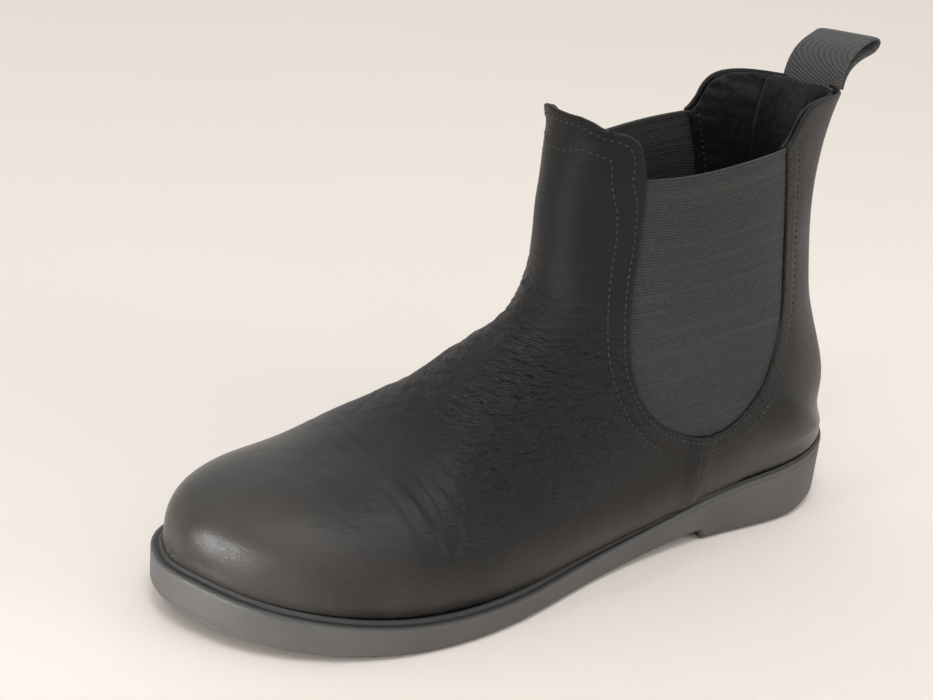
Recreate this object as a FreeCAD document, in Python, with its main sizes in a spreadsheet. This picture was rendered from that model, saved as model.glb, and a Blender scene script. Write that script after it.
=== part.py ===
"""Left chelsea boot: leather upper on a moulded rubber unit sole, elastic side gores, webbing pull tab.

Working frame while building: X from the heel's back (about 0) to the toe, +Y towards the outer
(lateral) side of the left foot, +Z up from the ground. At the end everything is moved so that the
origin is the middle of the boot's footprint, at ground level.

The upper is a stack of skins of one last shape: leather outside, elastic and stiffeners in the
middle, lining inside. Each skin is the space between two copies of the last, and the pieces are
cut out of the skins with side-view patterns, as they are from a hide.
"""
import FreeCAD, Part
import math
import os

doc = FreeCAD.newDocument("chelsea_boot")

# ------------------------------------------------------------------ driving dimensions, mm
DIMENSIONS = [
    ("sole_heel_x", -2.0, "back of the heel"),
    ("sole_toe_x", 285.0, "tip of the toe"),
    ("ledge_heel", 1.4, "sole ledge outside the upper, at the heel"),
    ("ledge_toe", 4.4, "sole ledge outside the upper, at the toe"),
    ("seat_depth", 2.0, "how deep the upper sits in the sole"),
    ("breast_x", 75.0, "front face of the heel"),
    ("breast_step", 4.0, "height of the step at the heel's front face"),
    ("leather", 1.8, "thickness of the upper leather"),
    ("middle", 1.2, "thickness of elastic, stiffeners and interlining"),
    ("lining", 1.0, "thickness of the lining leather"),
    ("strip", 0.9, "thickness of the strip over the back seam inside"),
    ("gore_margin", 8.0, "how far the elastic runs on under the leather"),
    ("board", 2.0, "thickness of the insole board"),
    ("footbed", 1.8, "thickness of the sock lining"),
    ("footbed_gap", 0.3, "gap round the sock lining"),
    ("shank_width", 12.0, "width of the steel shank"),
    ("shank_thick", 1.2, "thickness of the steel shank"),
    ("core_wall", 12.0, "rubber left round the heel core"),
    ("core_floor", 7.0, "rubber left under the heel core"),
    ("filler_wall", 13.0, "rubber left round the forefoot filler"),
    ("filler_depth", 3.0, "thickness of the forefoot filler"),
    ("groove_width", 2.5, "width of a tread groove"),
    ("groove_depth", 1.5, "depth of a tread groove"),
    ("web_width", 22.5, "width of the pull tab webbing"),
    ("web_thick", 1.2, "thickness of the pull tab webbing"),
    ("web_rise", 15.8, "height of the free loop above its fold line"),
    ("web_lean", 16.8, "how far back the free loop leans"),
    ("web_tail", 22.0, "length of webbing sewn into the boot"),
    ("thread", 0.7, "thickness of the sewing thread"),
    ("stitch_long", 2.6, "visible length of one stitch"),
    ("stitch_pitch", 4.0, "distance from stitch to stitch"),
]
sheet = doc.addObject("Spreadsheet::Sheet", "sizes")
for row, (alias, value, note) in enumerate(DIMENSIONS, start=1):
    sheet.set("A%d" % row, note)
    sheet.set("B%d" % row, str(value))
    sheet.setAlias("B%d" % row, alias)
doc.recompute()


def size(alias):
    """Value of one driving dimension, in mm."""
    return float(sheet.get(alias))


# ------------------------------------------------------------------ smooth curves through points
def spline(points):
    """Natural cubic spline through (x, y) pairs, as a function that holds its end values."""
    xs = [p[0] for p in points]
    ys = [p[1] for p in points]
    count = len(xs)
    gap = [xs[i + 1] - xs[i] for i in range(count - 1)]
    low = [0.0] * count
    mid = [1.0] * count
    high = [0.0] * count
    rhs = [0.0] * count
    for i in range(1, count - 1):
        low[i] = gap[i - 1]
        mid[i] = 2 * (gap[i - 1] + gap[i])
        high[i] = gap[i]
        rhs[i] = 6 * ((ys[i + 1] - ys[i]) / gap[i] - (ys[i] - ys[i - 1]) / gap[i - 1])
    for i in range(1, count):
        factor = low[i] / mid[i - 1]
        mid[i] -= factor * high[i - 1]
        rhs[i] -= factor * rhs[i - 1]
    bend = [0.0] * count
    for i in range(count - 2, -1, -1):
        bend[i] = (rhs[i] - high[i] * bend[i + 1]) / mid[i]

    def value(x):
        x = min(max(x, xs[0]), xs[-1])
        i = 0
        while i < count - 2 and x > xs[i + 1]:
            i += 1
        a = (xs[i + 1] - x) / gap[i]
        b = 1 - a
        curve = ((a ** 3 - a) * bend[i] + (b ** 3 - b) * bend[i + 1]) * gap[i] ** 2 / 6
        return a * ys[i] + b * ys[i + 1] + curve

    return value


# ------------------------------------------------------------------ the sole's plan outline
HEEL_X = size("sole_heel_x")
TOE_X = size("sole_toe_x")
SOLE_LENGTH = TOE_X - HEEL_X

# (share of the length from heel to toe, distance from the long axis as a share of the length)
LATERAL_EDGE = [(0, 0), (.022, .0634), (.07, .098), (.14, .1129), (.25, .111), (.36, .118),
                (.48, .1374), (.60, .1697), (.70, .1832), (.80, .1728), (.88, .1416),
                (.95, .0839), (.988, .022), (1, -.025)]
MEDIAL_EDGE = [(0, 0), (.022, -.0616), (.07, -.0961), (.14, -.1073), (.25, -.0961), (.38, -.088),
               (.5, -.1088), (.62, -.1471), (.73, -.1761), (.81, -.174), (.89, -.1554),
               (.955, -.1206), (.99, -.073), (1, -.025)]
LATERAL = 1
MEDIAL = -1


def edge_curve(edge):
    """Half width against the outline's own parameter, which runs 0 to 1 from heel to toe."""
    return spline([(math.acos(1 - 2 * share) / math.pi, y * SOLE_LENGTH) for share, y in edge])


EDGE = {LATERAL: edge_curve(LATERAL_EDGE), MEDIAL: edge_curve(MEDIAL_EDGE)}
middle_line = spline([(0, 0), (.3, 0), (.6, -.5), (.8, -3.5), (1, -.025 * SOLE_LENGTH)])
# height of the line where the upper meets the sole, against X
feather_height = spline([(-2, 32.0), (10, 29), (30, 26), (55, 23), (80, 19), (105, 15), (130, 12.5),
                         (160, 11.5), (190, 11.7), (220, 13), (250, 16.5), (270, 20), (281, 22.5)])
UPPER_HEEL_X = HEEL_X + size("ledge_heel")
UPPER_TOE_X = TOE_X - size("ledge_toe")


def along(share, start=HEEL_X, end=TOE_X):
    """X of the outline parameter."""
    return start + (end - start) * (1 - math.cos(math.pi * share)) / 2


def feather_half_width(share, side):
    """Half width of the upper where it meets the sole, from the middle line."""
    full = abs(EDGE[side](share) - middle_line(share))
    step = min(max((share - .28) / .3, 0), 1)
    ledge = 1.3 + 3.2 * step * step * (3 - 2 * step)
    return full * (1 - ledge / 52)


# ------------------------------------------------------------------ the last
# Stations run from the toe (0) over the instep to the shaft's top (18). At each one a flat section
# stands on a line in side view, from its front point F to its end E. E follows the feather line
# round to the heel (stations 0 to 12), then climbs the back of the shaft (12 to 18).
HEEL_STATION = 12
TOP_STATION = 18
FEATHER_SHARE = [.985, .955, .92, .87, .80, .72, .64, .56, .48, .39, .29, .18, .00]
BACK_HEIGHT = [32, 50, 75, 100, 125, 148, 172]
FRONT_X = [280.3, 278.9, 274.5, 264.5, 247, 225, 204.5, 185.5, 167.5, 152.5, 146.6, 146.2, 146.2,
           145.8, 145.2, 144.4, 143.6, 143.2, 143.2]
FRONT_Z = [25, 33.5, 40.5, 45.3, 48.3, 51.3, 60.5, 72.5, 82.8, 92.5, 106, 119.5, 131, 139, 147,
           154.5, 162, 169, 178]
BACK_X = [(30, -.6), (45, -1.0), (65, 5.0), (90, 14.5), (115, 19.5), (135, 20.5), (150, 19), (166, 14), (172, 11)]
LATERAL_HALF = [41.5, 36.5, 34.5, 33.5, 32.5, 32, 31.5, 31.5, 32.5, 34, 35.5]
MEDIAL_HALF = [37.5, 34.5, 33.5, 32.5, 32, 31.5, 31, 30, 29, 28.5, 28.5]
WIDEST = [.3, .3, .3, .3, .3, .28, .27, .27, .30, .36, .40, .42, .44, .46, .48, .50, .52, .54, .56]
FRONT_POWER = [2.0, 2.1, 2.2, 2.3, 2.3, 2.2, 2.15, 2.1, 2.1, 2.1, 2.1, 2.1, 2.2, 2.2, 2.2, 2.3,
               2.4, 2.6, 2.6]
BACK_POWER = [2.3, 2.4, 2.6, 2.8, 2.8, 2.8, 2.8, 2.6, 2.5, 2.3, 2.1, 2.0, 1.87, 1.87, 1.87, 1.87,
              1.87, 1.87, 1.87]
CENTRE_Y = [-6.8, -6.3, -5.6, -4.8, -3.8, -2.6, -1.6, -.9, -.4, 0, 0, 0, 0, 0, 0, 0, -.5, -1.5, -2.5]
BACK_LEAN = [0] * 15 + [-1.0, -2.5, -3.6, -4.5]
BACK_SKEW = [0] * 15 + [.05, .12, .18, .22]
UNDERHANG = 8.0
BOXIEST = 8.0
WALL_SWELL = 1.045
SWELL_EXTRA = 0.6


def station_curve(values):
    return spline(list(zip(range(TOP_STATION + 1), values)))


def half_widths(side, upper_values):
    """Largest half width of each section: from the feather line at the toe, then as listed."""
    low = [feather_half_width(s, side) * WALL_SWELL + SWELL_EXTRA for s in FEATHER_SHARE[:8]]
    return station_curve(low + upper_values)


front_x = station_curve(FRONT_X)
front_z = station_curve(FRONT_Z)
widest_at = station_curve(WIDEST)
front_power = station_curve(FRONT_POWER)
back_power = station_curve(BACK_POWER)
centre_y = station_curve(CENTRE_Y)
back_lean = station_curve(BACK_LEAN)
back_skew = station_curve(BACK_SKEW)
half_width = {LATERAL: half_widths(LATERAL, LATERAL_HALF), MEDIAL: half_widths(MEDIAL, MEDIAL_HALF)}
feather_share = spline(list(zip(range(HEEL_STATION + 1), FEATHER_SHARE)))
back_height = spline(list(zip(range(HEEL_STATION, TOP_STATION + 1), BACK_HEIGHT)))
back_x = spline(BACK_X)


def section_end(station):
    """End point E of a section and its share along the sole's outline."""
    if station <= HEEL_STATION:
        share = max(feather_share(station), 0)
        x = along(share, UPPER_HEEL_X, UPPER_TOE_X)
        return x, feather_height(x), share
    z = back_height(station)
    return back_x(z), z, 0


def lower_half(widest, foot, power, length):
    """How far past the widest place the rounded lower half of a section reaches, as a share of its
    length, and its power: it passes through the upper's half width at the feather line, and closes
    at most UNDERHANG below it."""
    reach = widest / (1 - foot ** power) ** (1 / power)
    if (reach - widest) * length > UNDERHANG:
        reach = widest + UNDERHANG / length
        while power < BOXIEST and foot ** power + (widest / reach) ** power > 1:
            power += .05
    return reach, power


def last_point(station, side, angle, inset=0.0):
    """Point of the last. The angle is 90 at the front, 0 at the widest place and -90 at the end
    of the full rounded section, which lies under the feather line where the sole covers it."""
    end_x, end_z, share = section_end(station)
    toe_shift = inset * max(1 - station / 4, 0)
    run_x = front_x(station) - end_x
    run_z = front_z(station) - end_z
    length = math.hypot(run_x, run_z)
    widest = widest_at(station)
    half = half_width[side](station)
    foot = min(feather_half_width(share, side) / half, .985) if station < HEEL_STATION else 0
    cos_a = math.cos(math.radians(angle))
    sin_a = math.sin(math.radians(angle))
    if angle >= 0:
        power = front_power(station)
        reach = 1 - widest
    else:
        reach, power = lower_half(widest, foot, back_power(station), length)
    scale = (abs(cos_a) ** power + abs(sin_a) ** power) ** (-1 / power)
    place = widest + (reach - inset / length) * sin_a * scale
    out = (half - inset) * cos_a * scale
    rear = (1 - place) ** 2 if station > HEEL_STATION else 0
    y = centre_y(station) + side * out + back_lean(station) * rear
    place -= back_skew(station) * side * out * rear / length
    x = end_x + run_x * place - toe_shift
    return FreeCAD.Vector(x, y, end_z + run_z * place)


LOFT_STATIONS = [1, 1.4, 1.8, 2.3, 3, 4, 5, 6, 7, 8, 9, 10, 10.6, 11.2, 11.6, 12, 12.5, 13, 14, 15,
                 16, 17, 18]
SECTION_ANGLES = [-90, -78, -67, -58, -50, -43, -35, -25, -12, 0, 15, 30, 45, 60, 75, 90]


def last_solid(inset):
    """Closed solid of the last, shrunk by the inset on every side."""
    rows = []
    for station in LOFT_STATIONS:
        up = [last_point(station, LATERAL, a, inset) for a in SECTION_ANGLES]
        down = [last_point(station, MEDIAL, a, inset) for a in reversed(SECTION_ANGLES[1:-1])]
        rows.append(up + down + [up[0]])
    surface = Part.BSplineSurface()
    surface.interpolate(rows)
    skin = surface.toShape()
    faces = [skin]
    for row in (rows[0], rows[-1]):
        for edge in skin.Edges:
            if max(edge.distToShape(Part.Vertex(p))[0] for p in row[::5]) < .001:
                faces.append(Part.Face(Part.Wire([edge])))
                break
    shell = Part.Shell(faces)
    shell.sewShape()
    return Part.Solid(Part.Shell(shell.Faces))


# ------------------------------------------------------------------ document helpers
SIDE_REACH = 90.0


def helper(name, shape):
    """Construction body: not a piece of the boot."""
    obj = doc.addObject("Part::Feature", name)
    obj.Shape = shape
    return obj


def vectors(points, y=0.0):
    return [FreeCAD.Vector(x, y, z) for x, z in points]


def path_edge(points):
    """Line through two points, or a smooth curve through more."""
    points = list(points)
    if len(points) == 2:
        return Part.LineSegment(*points).toShape()
    curve = Part.BSplineCurve()
    curve.interpolate(points)
    return curve.toShape()


def chords(points):
    """Straight runs from point to point."""
    return list(zip(points, points[1:]))


def pattern(name, *runs):
    """Side-view pattern, cut right through the boot along Y. Each run of (x, z) points starts where
    the one before it ends."""
    edges = [path_edge(vectors(run, -SIDE_REACH)) for run in runs]
    face = Part.Face(Part.Wire(edges))
    return helper(name, face.extrude(FreeCAD.Vector(0, 2 * SIDE_REACH, 0)))


def box(name, low, high):
    obj = doc.addObject("Part::Box", name)
    obj.Length = high[0] - low[0]
    obj.Width = high[1] - low[1]
    obj.Height = high[2] - low[2]
    obj.Placement.Base = FreeCAD.Vector(*low)
    return obj


def common(name, base, *tools):
    for step, tool in enumerate(tools, 1):
        last = step == len(tools)
        obj = doc.addObject("Part::Common", name if last else "%s_%d" % (name, step))
        obj.Base = base
        obj.Tool = tool
        obj.Refine = False
        base = obj
    return base


def fuse(name, *pieces):
    obj = doc.addObject("Part::MultiFuse", name)
    obj.Shapes = list(pieces)
    obj.Refine = False
    return obj


def cut(name, base, tool):
    obj = doc.addObject("Part::Cut", name)
    obj.Base = base
    obj.Tool = tool
    obj.Refine = False
    return obj


PIECES = []


def piece(obj):
    """Mark a document object as a piece of the boot: its name is its label and its file."""
    obj.Label = obj.Name
    PIECES.append(obj)
    return obj


# ------------------------------------------------------------------ skins of the last
LEATHER = size("leather")
MIDDLE_IN = LEATHER + size("middle")
LINING_IN = MIDDLE_IN + size("lining")
STRIP_IN = LINING_IN + size("strip")
last_0 = helper("last_outside", last_solid(0))
last_1 = helper("last_under_leather", last_solid(LEATHER))
last_2 = helper("last_under_middle", last_solid(MIDDLE_IN))
last_3 = helper("last_under_lining", last_solid(LINING_IN))
last_4 = helper("last_under_strip", last_solid(STRIP_IN))
leather_skin = cut("leather_skin", last_0, last_1)
middle_skin = cut("middle_skin", last_1, last_2)
lining_skin = cut("lining_skin", last_2, last_3)
strip_skin = cut("strip_skin", last_3, last_4)

# ------------------------------------------------------------------ side-view lines, (x, z)
REAR = -30.0
AHEAD = 310.0
UNDER = -20.0
OVER = 210.0
FRONT_TOP = [(160, 156), (149, 160.5), (145.6, 164.2), (143, 165.9), (140.6, 165), (138.4, 163.4),
             (135.6, 162.7), (131.8, 162), (128.6, 159.6), (126.4, 154.6), (124.1, 147)]
GORE_TOP = [(124.1, 147), (108, 148.5), (93, 150.5), (77, 152.7), (62, 154.5)]
EAR_TOP = [(62, 154.5), (58.6, 157.8), (55.4, 163.4), (51.6, 167.2), (45, 169.2), (34, 169.4),
           (20, 168), (5, 166.8), (REAR, 166)]
GORE_FRONT = [(124.1, 147), (122.6, 128), (123.3, 107), (124, 90), (123.2, 78), (120, 69),
              (111.4, 58.4), (99.8, 51.4), (88.8, 47.6), (82, 47)]
GORE_REAR = [(82, 47), (75, 48.2), (67.5, 52.2), (57.4, 63.3), (51.6, 84), (52.3, 110),
             (56.5, 135), (62, 154.5)]
SEAM_X = 82.0
SEAM_GAP = 0.15
COUNTER_TOP = [(REAR, 80), (10, 80), (30, 75), (45, 62), (60, 48), (SEAM_X, 40)]
SEAT_X = [REAR, -2, 10, 20, 30, 42, 55, 67, 80, 92, 105, 117, 130, 145, 160, 175, 190, 205, 220, 235,
          250, 260, 270, 281, AHEAD]


def seat_line(rise):
    """Line a little above (or below) the seat that the upper stands on."""
    return [(x, feather_height(x) - size("seat_depth") + rise) for x in SEAT_X]


def band(name, low, high):
    """Everything between two heights above the seat."""
    bottom = seat_line(low)
    top = seat_line(high)[::-1]
    return pattern(name, *chords(bottom + top + bottom[:1]))


def shifted(points, distance):
    """The same run of points moved sideways, to the left of its direction."""
    moved = []
    for i, (x, z) in enumerate(points):
        before = points[max(i - 1, 0)]
        after = points[min(i + 1, len(points) - 1)]
        run = math.hypot(after[0] - before[0], after[1] - before[1])
        moved.append((x - (after[1] - before[1]) / run * distance,
                      z + (after[0] - before[0]) / run * distance))
    return moved


seat = seat_line(0)
inside_boot = pattern(
    "inside_boot", *chords(seat), (seat[-1], (AHEAD, 156)), ((AHEAD, 156), (160, 156)), FRONT_TOP,
    GORE_TOP, EAR_TOP, (EAR_TOP[-1], seat[0]))


def front_pattern(name, gap):
    """Side-view region of the vamp: ahead of the side seam and of the gore's front edge."""
    foot = (SEAM_X + gap, UNDER)
    knee = (SEAM_X + gap, 47)
    edge = [knee] + GORE_FRONT[-2::-1]
    top = (edge[-1][0], OVER)
    return pattern(name, (foot, (AHEAD, UNDER)), ((AHEAD, UNDER), (AHEAD, OVER)),
                   ((AHEAD, OVER), top), (top, edge[-1]), edge[::-1], (knee, foot))


def rear_pattern(name, gap):
    """Side-view region of the quarters: behind the side seam and the gore's rear edge."""
    foot = (SEAM_X - gap, UNDER)
    knee = (SEAM_X - gap, 47)
    edge = [knee] + GORE_REAR[1:]
    top = (edge[-1][0], OVER)
    return pattern(name, (foot, knee), edge, (edge[-1], top), (top, (REAR, OVER)),
                   ((REAR, OVER), (REAR, UNDER)), ((REAR, UNDER), foot))


front_region = front_pattern("front_region", SEAM_GAP)
rear_region = rear_pattern("rear_region", SEAM_GAP)


def gore_pattern(name, margin):
    """The gore's outline grown by a margin under the leather round it."""
    front = shifted(GORE_FRONT[:-1], margin)
    rear = shifted(GORE_REAR[1:], margin)
    low = (SEAM_X, GORE_FRONT[-1][1] - margin)
    run = front + [low] + rear
    return pattern(name, run, (run[-1], run[0]))


GORE_MARGIN = size("gore_margin")
FIT_GAP = 0.3
gore_region = gore_pattern("gore_region", GORE_MARGIN)
gore_hole = gore_pattern("gore_hole", GORE_MARGIN + FIT_GAP)

# the back seam leans towards the inner side as it climbs: (y, z)
SEAM_LEAN = [(0, UNDER), (0, 75), (-1.0, 100), (-3.0, 125), (-5.1, 148), (-7.2, 172), (-7.2, OVER)]


def beside_seam(name, low_shift, high_shift):
    """Region between two copies of the back seam's line, cut through along X."""
    left = [FreeCAD.Vector(REAR, y + low_shift, z) for y, z in SEAM_LEAN]
    right = [FreeCAD.Vector(REAR, y + high_shift, z) for y, z in reversed(SEAM_LEAN)]
    face = Part.Face(Part.makePolygon(left + right + [left[0]]))
    return helper(name, face.extrude(FreeCAD.Vector(AHEAD - REAR, 0, 0)))


lateral_half = beside_seam("lateral_half", 0, 120)
medial_half = beside_seam("medial_half", -120, 0)
HALVES = (("lateral", lateral_half), ("medial", medial_half))

# ------------------------------------------------------------------ leather upper
piece(common("vamp", leather_skin, inside_boot, front_region))
for half_name, half in HALVES:
    piece(common("quarter_" + half_name, leather_skin, inside_boot, rear_region, half))

# ------------------------------------------------------------------ elastic gores
for half_name, half in HALVES:
    piece(common("gore_" + half_name, middle_skin, inside_boot, gore_region, half))

# ------------------------------------------------------------------ stiffeners and interlinings
PUFF_X = 218.0
front_zone = cut("front_zone", common("front_side", inside_boot, front_region), gore_hole)
rear_zone = cut("rear_zone", common("rear_side", inside_boot, rear_region), gore_hole)
toe_zone = box("toe_zone", (PUFF_X, -SIDE_REACH, UNDER), (AHEAD, SIDE_REACH, OVER))
toe_gap = box("toe_gap", (PUFF_X - FIT_GAP, -SIDE_REACH, UNDER), (AHEAD, SIDE_REACH, OVER))
piece(common("toe_puff", middle_skin, common("puff_zone", front_zone, toe_zone)))
piece(common("vamp_interlining", middle_skin, cut("behind_puff", front_zone, toe_gap)))
counter_foot = ((SEAM_X, UNDER), (REAR, UNDER))
counter_zone = pattern("counter_zone", COUNTER_TOP, (COUNTER_TOP[-1], counter_foot[0]),
                       counter_foot, (counter_foot[1], COUNTER_TOP[0]))
raised = [(x, z + FIT_GAP) for x, z in COUNTER_TOP]
counter_gap = pattern("counter_gap", raised, (raised[-1], counter_foot[0]),
                      counter_foot, (counter_foot[1], raised[0]))
piece(common("heel_counter", middle_skin, common("counter_room", rear_zone, counter_zone)))
WEB_HALF = size("web_width") / 2
tail_strip = beside_seam("tail_strip", -WEB_HALF, WEB_HALF)
tail_gap = beside_seam("tail_gap", -WEB_HALF - FIT_GAP, WEB_HALF + FIT_GAP)
TAIL_TOP = 169.0
TAIL_LOW = TAIL_TOP - size("web_tail")
tail_zone = box("tail_zone", (REAR, -SIDE_REACH, TAIL_LOW), (45, SIDE_REACH, TAIL_TOP))
tail_slot = box("tail_slot", (REAR, -SIDE_REACH, TAIL_LOW - FIT_GAP), (45, SIDE_REACH, OVER))
above_counter = cut("above_counter", rear_zone, counter_gap)
without_tail = cut("without_tail", above_counter, common("tail_room", tail_gap, tail_slot))
piece(common("quarter_interlining", middle_skin, without_tail))
piece(common("pull_tab_ends", middle_skin, tail_strip, tail_zone, inside_boot))

# ------------------------------------------------------------------ lining
piece(common("vamp_lining", lining_skin, inside_boot, front_region))
for half_name, half in HALVES:
    piece(common("quarter_lining_" + half_name, lining_skin, inside_boot, rear_region, half))
STRIP_HALF = 14.0
strip_zone = beside_seam("strip_zone", -STRIP_HALF, STRIP_HALF)
strip_box = box("strip_box", (REAR, -SIDE_REACH, 40), (60, SIDE_REACH, OVER))
piece(common("back_strip", strip_skin, inside_boot, strip_zone, strip_box))

# ------------------------------------------------------------------ bottom, inside the boot
BOARD = size("board")
FOOTBED_TOP = BOARD + size("footbed")
piece(common("insole_board", last_3, band("board_band", 0, BOARD)))
footbed_last = helper("footbed_last", last_solid(LINING_IN + size("footbed_gap")))
piece(common("sock_lining", footbed_last, band("footbed_band", BOARD, FOOTBED_TOP)))


# ------------------------------------------------------------------ rubber unit sole
OUTLINE_STEPS = 14


def outline_prism(name, inset, low, high):
    """Upright prism of the sole's outline, drawn in from the edge by an inset."""
    start = HEEL_X + inset
    end = TOE_X - inset
    points = []
    for side in (LATERAL, MEDIAL):
        shares = [(i + .5) / OUTLINE_STEPS for i in range(OUTLINE_STEPS)]
        if side == MEDIAL:
            shares = shares[::-1]
        for share in shares:
            full = abs(EDGE[side](share) - middle_line(share))
            taper = inset * math.sin(math.pi * share) ** .5
            y = middle_line(share) + side * max(full - taper, 1)
            points.append(FreeCAD.Vector(along(share, start, end), y, low))
        tip = along(1 if side == LATERAL else 0, start, end)
        points.append(FreeCAD.Vector(tip, middle_line(1 if side == LATERAL else 0), low))
    curve = Part.BSplineCurve()
    curve.interpolate(Points=points, PeriodicFlag=True)
    face = Part.Face(Part.Wire([curve.toShape()]))
    return helper(name, face.extrude(FreeCAD.Vector(0, 0, high - low)))


BREAST_X = size("breast_x")
BREAST_STEP = size("breast_step")
BREAST_SLOPE = 3.0
WAIST_END = 143.0
BALL_END = 205.0
RIM_RISE = 1.3
rim = seat_line(RIM_RISE)
waist = [(WAIST_END, 0), (120, .9), (98, 2.8), (BREAST_X + BREAST_SLOPE, BREAST_STEP)]
toe_spring = [(BALL_END, 0), (228, .5), (252, 2.1), (272, 4.4), (AHEAD, 9.5)]
sole_profile = pattern(
    "sole_profile", *chords(rim), (rim[-1], toe_spring[-1]), toe_spring[::-1], ((BALL_END, 0), (WAIST_END, 0)),
    waist, (waist[-1], (BREAST_X, 0)), ((BREAST_X, 0), (REAR, 0)), ((REAR, 0), rim[0]))
sole_block = common("sole_block", outline_prism("sole_outline", 0, -5, 60), sole_profile)
above_seat = pattern("above_seat", *chords(seat), (seat[-1], (AHEAD, OVER)), ((AHEAD, OVER), (REAR, OVER)),
                     ((REAR, OVER), seat[0]))
upper_room = common("upper_room", last_0, above_seat)

core_box = doc.addObject("Part::Box", "core_box")
core_box.setExpression("Length", "sizes.breast_x - sizes.sole_heel_x - 2 * sizes.core_wall")
core_box.setExpression("Width", "4 * sizes.core_wall")
core_box.Height = 40
core_box.setExpression("Placement.Base.x", "sizes.sole_heel_x + sizes.core_wall")
core_box.setExpression("Placement.Base.y", "-2 * sizes.core_wall")
core_box.setExpression("Placement.Base.z", "sizes.core_floor")
SHANK_THICK = size("shank_thick")
below_seat = band("below_seat", -60, 0)
shank_band = band("shank_band", -SHANK_THICK, 0)
shank_box = doc.addObject("Part::Box", "shank_box")
shank_box.Length = 120
shank_box.setExpression("Width", "sizes.shank_width")
shank_box.Height = 60
shank_box.setExpression("Placement.Base.x", "sizes.breast_x - 35")
shank_box.setExpression("Placement.Base.y", "-sizes.shank_width / 2")
shank = piece(common("shank", shank_band, shank_box))
core_outline = outline_prism("core_outline", size("core_wall") / 2, -5, 60)
core_room = common("core_room", core_box, core_outline, below_seat)
piece(cut("heel_core", core_room, shank))
FILLER_START = 132.0
FILLER_END = 262.0
filler_band = band("filler_band", -size("filler_depth"), 0)
filler_zone = box("filler_zone", (FILLER_START, -SIDE_REACH, UNDER), (FILLER_END, SIDE_REACH, 80))
filler_outline = outline_prism("filler_outline", size("filler_wall"), -5, 60)
filler_room = common("filler_room", filler_outline, filler_band, filler_zone)
piece(cut("forefoot_filler", filler_room, shank))

GROOVE_HALF_LENGTH = 60.0
HEEL_GROOVES = [12.0 + 12 * i for i in range(5)]
BALL_GROOVES = [158.0 + 9 * i for i in range(12)]
grooves = []
for x in HEEL_GROOVES + BALL_GROOVES:
    bar = doc.addObject("Part::Box", "groove")
    bar.setExpression("Length", "sizes.groove_width")
    bar.Width = 2 * GROOVE_HALF_LENGTH
    bar.setExpression("Height", "sizes.groove_depth")
    rise = max(x - BALL_END, 0) ** 2 / 950
    bar.Placement.Base = FreeCAD.Vector(x, -GROOVE_HALF_LENGTH, rise)
    grooves.append(bar)
tread = common("tread", fuse("tread_bars", *grooves), outline_prism("tread_area", 9, -5, 20))
sole_hollows = fuse("sole_hollows", upper_room, core_room, filler_room, shank, tread)
piece(cut("outsole", sole_block, sole_hollows))

# ------------------------------------------------------------------ pull tab: a folded webbing loop
WEB = size("web_thick")
WEB_RISE = size("web_rise")
WEB_LEAN = size("web_lean")
FOLD_AT = FreeCAD.Vector(17.0, -7.2, 170.4)
WEB_TURN = math.radians(27)
# the loop's middle line in side view, as shares of how far it leans back and how high it rises
LOOP = [(.04, 0), (-.11, .46), (-.37, .76), (-.65, .93), (-.89, 1), (-1, .92), (-.96, .76),
        (-.69, .59), (-.40, .46), (-.17, .26), (-.055, 0)]
loop_line = [(FOLD_AT.x + x * WEB_LEAN, FOLD_AT.z + z * WEB_RISE) for x, z in LOOP]
outer_line = shifted(loop_line, -WEB / 2)
inner_line = shifted(loop_line, WEB / 2)
loop_runs = (outer_line, (outer_line[-1], inner_line[-1]), inner_line[::-1],
             (inner_line[0], outer_line[0]))
across = FreeCAD.Vector(-math.sin(WEB_TURN), math.cos(WEB_TURN), 0) * 2 * WEB_HALF
loop_edges = [path_edge(vectors(run, FOLD_AT.y)) for run in loop_runs]
loop_face = Part.Face(Part.Wire(loop_edges))
loop_face.translate(across * -.5)
piece(helper("pull_tab", loop_face.extrude(across)))


# ------------------------------------------------------------------ stitching
def find_station(x, z):
    """Station whose section line passes through a side-view point."""
    low, high = 1.0, float(TOP_STATION)
    for _ in range(40):
        middle = (low + high) / 2
        end_x, end_z, _ = section_end(middle)
        run_x = front_x(middle) - end_x
        run_z = front_z(middle) - end_z
        if run_x * (z - end_z) - run_z * (x - end_x) > 0:
            low = middle
        else:
            high = middle
    return (low + high) / 2


def surface_point(x, z, side, inset=0.0):
    """Point of the last's surface at a side-view place on one side of the boot."""
    station = find_station(x, z)
    end_x, end_z, share = section_end(station)
    run_x = front_x(station) - end_x
    run_z = front_z(station) - end_z
    length = math.hypot(run_x, run_z)
    place = ((x - end_x) * run_x + (z - end_z) * run_z) / length ** 2
    widest = widest_at(station)
    half = half_width[side](station)
    foot = min(feather_half_width(share, side) / half, .985) if station < HEEL_STATION else 0
    skewed = 0.0
    for _ in range(6):
        rear = (1 - place - skewed) ** 2 if station > HEEL_STATION else 0
        if place + skewed >= widest:
            power = front_power(station)
            reach = 1 - widest - inset / length
        else:
            reach, power = lower_half(widest, foot, back_power(station), length)
            reach -= inset / length
        part = min(abs(place + skewed - widest) / reach, 1)
        out = (half - inset) * (1 - part ** power) ** (1 / power)
        skewed = back_skew(station) * side * out * rear / length
    return FreeCAD.Vector(x, centre_y(station) + side * out + back_lean(station) * rear, z)


THREAD = size("thread")
STITCH_LONG = size("stitch_long")
STITCH_PITCH = size("stitch_pitch")
THREAD_LIFT = 0.22


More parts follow.
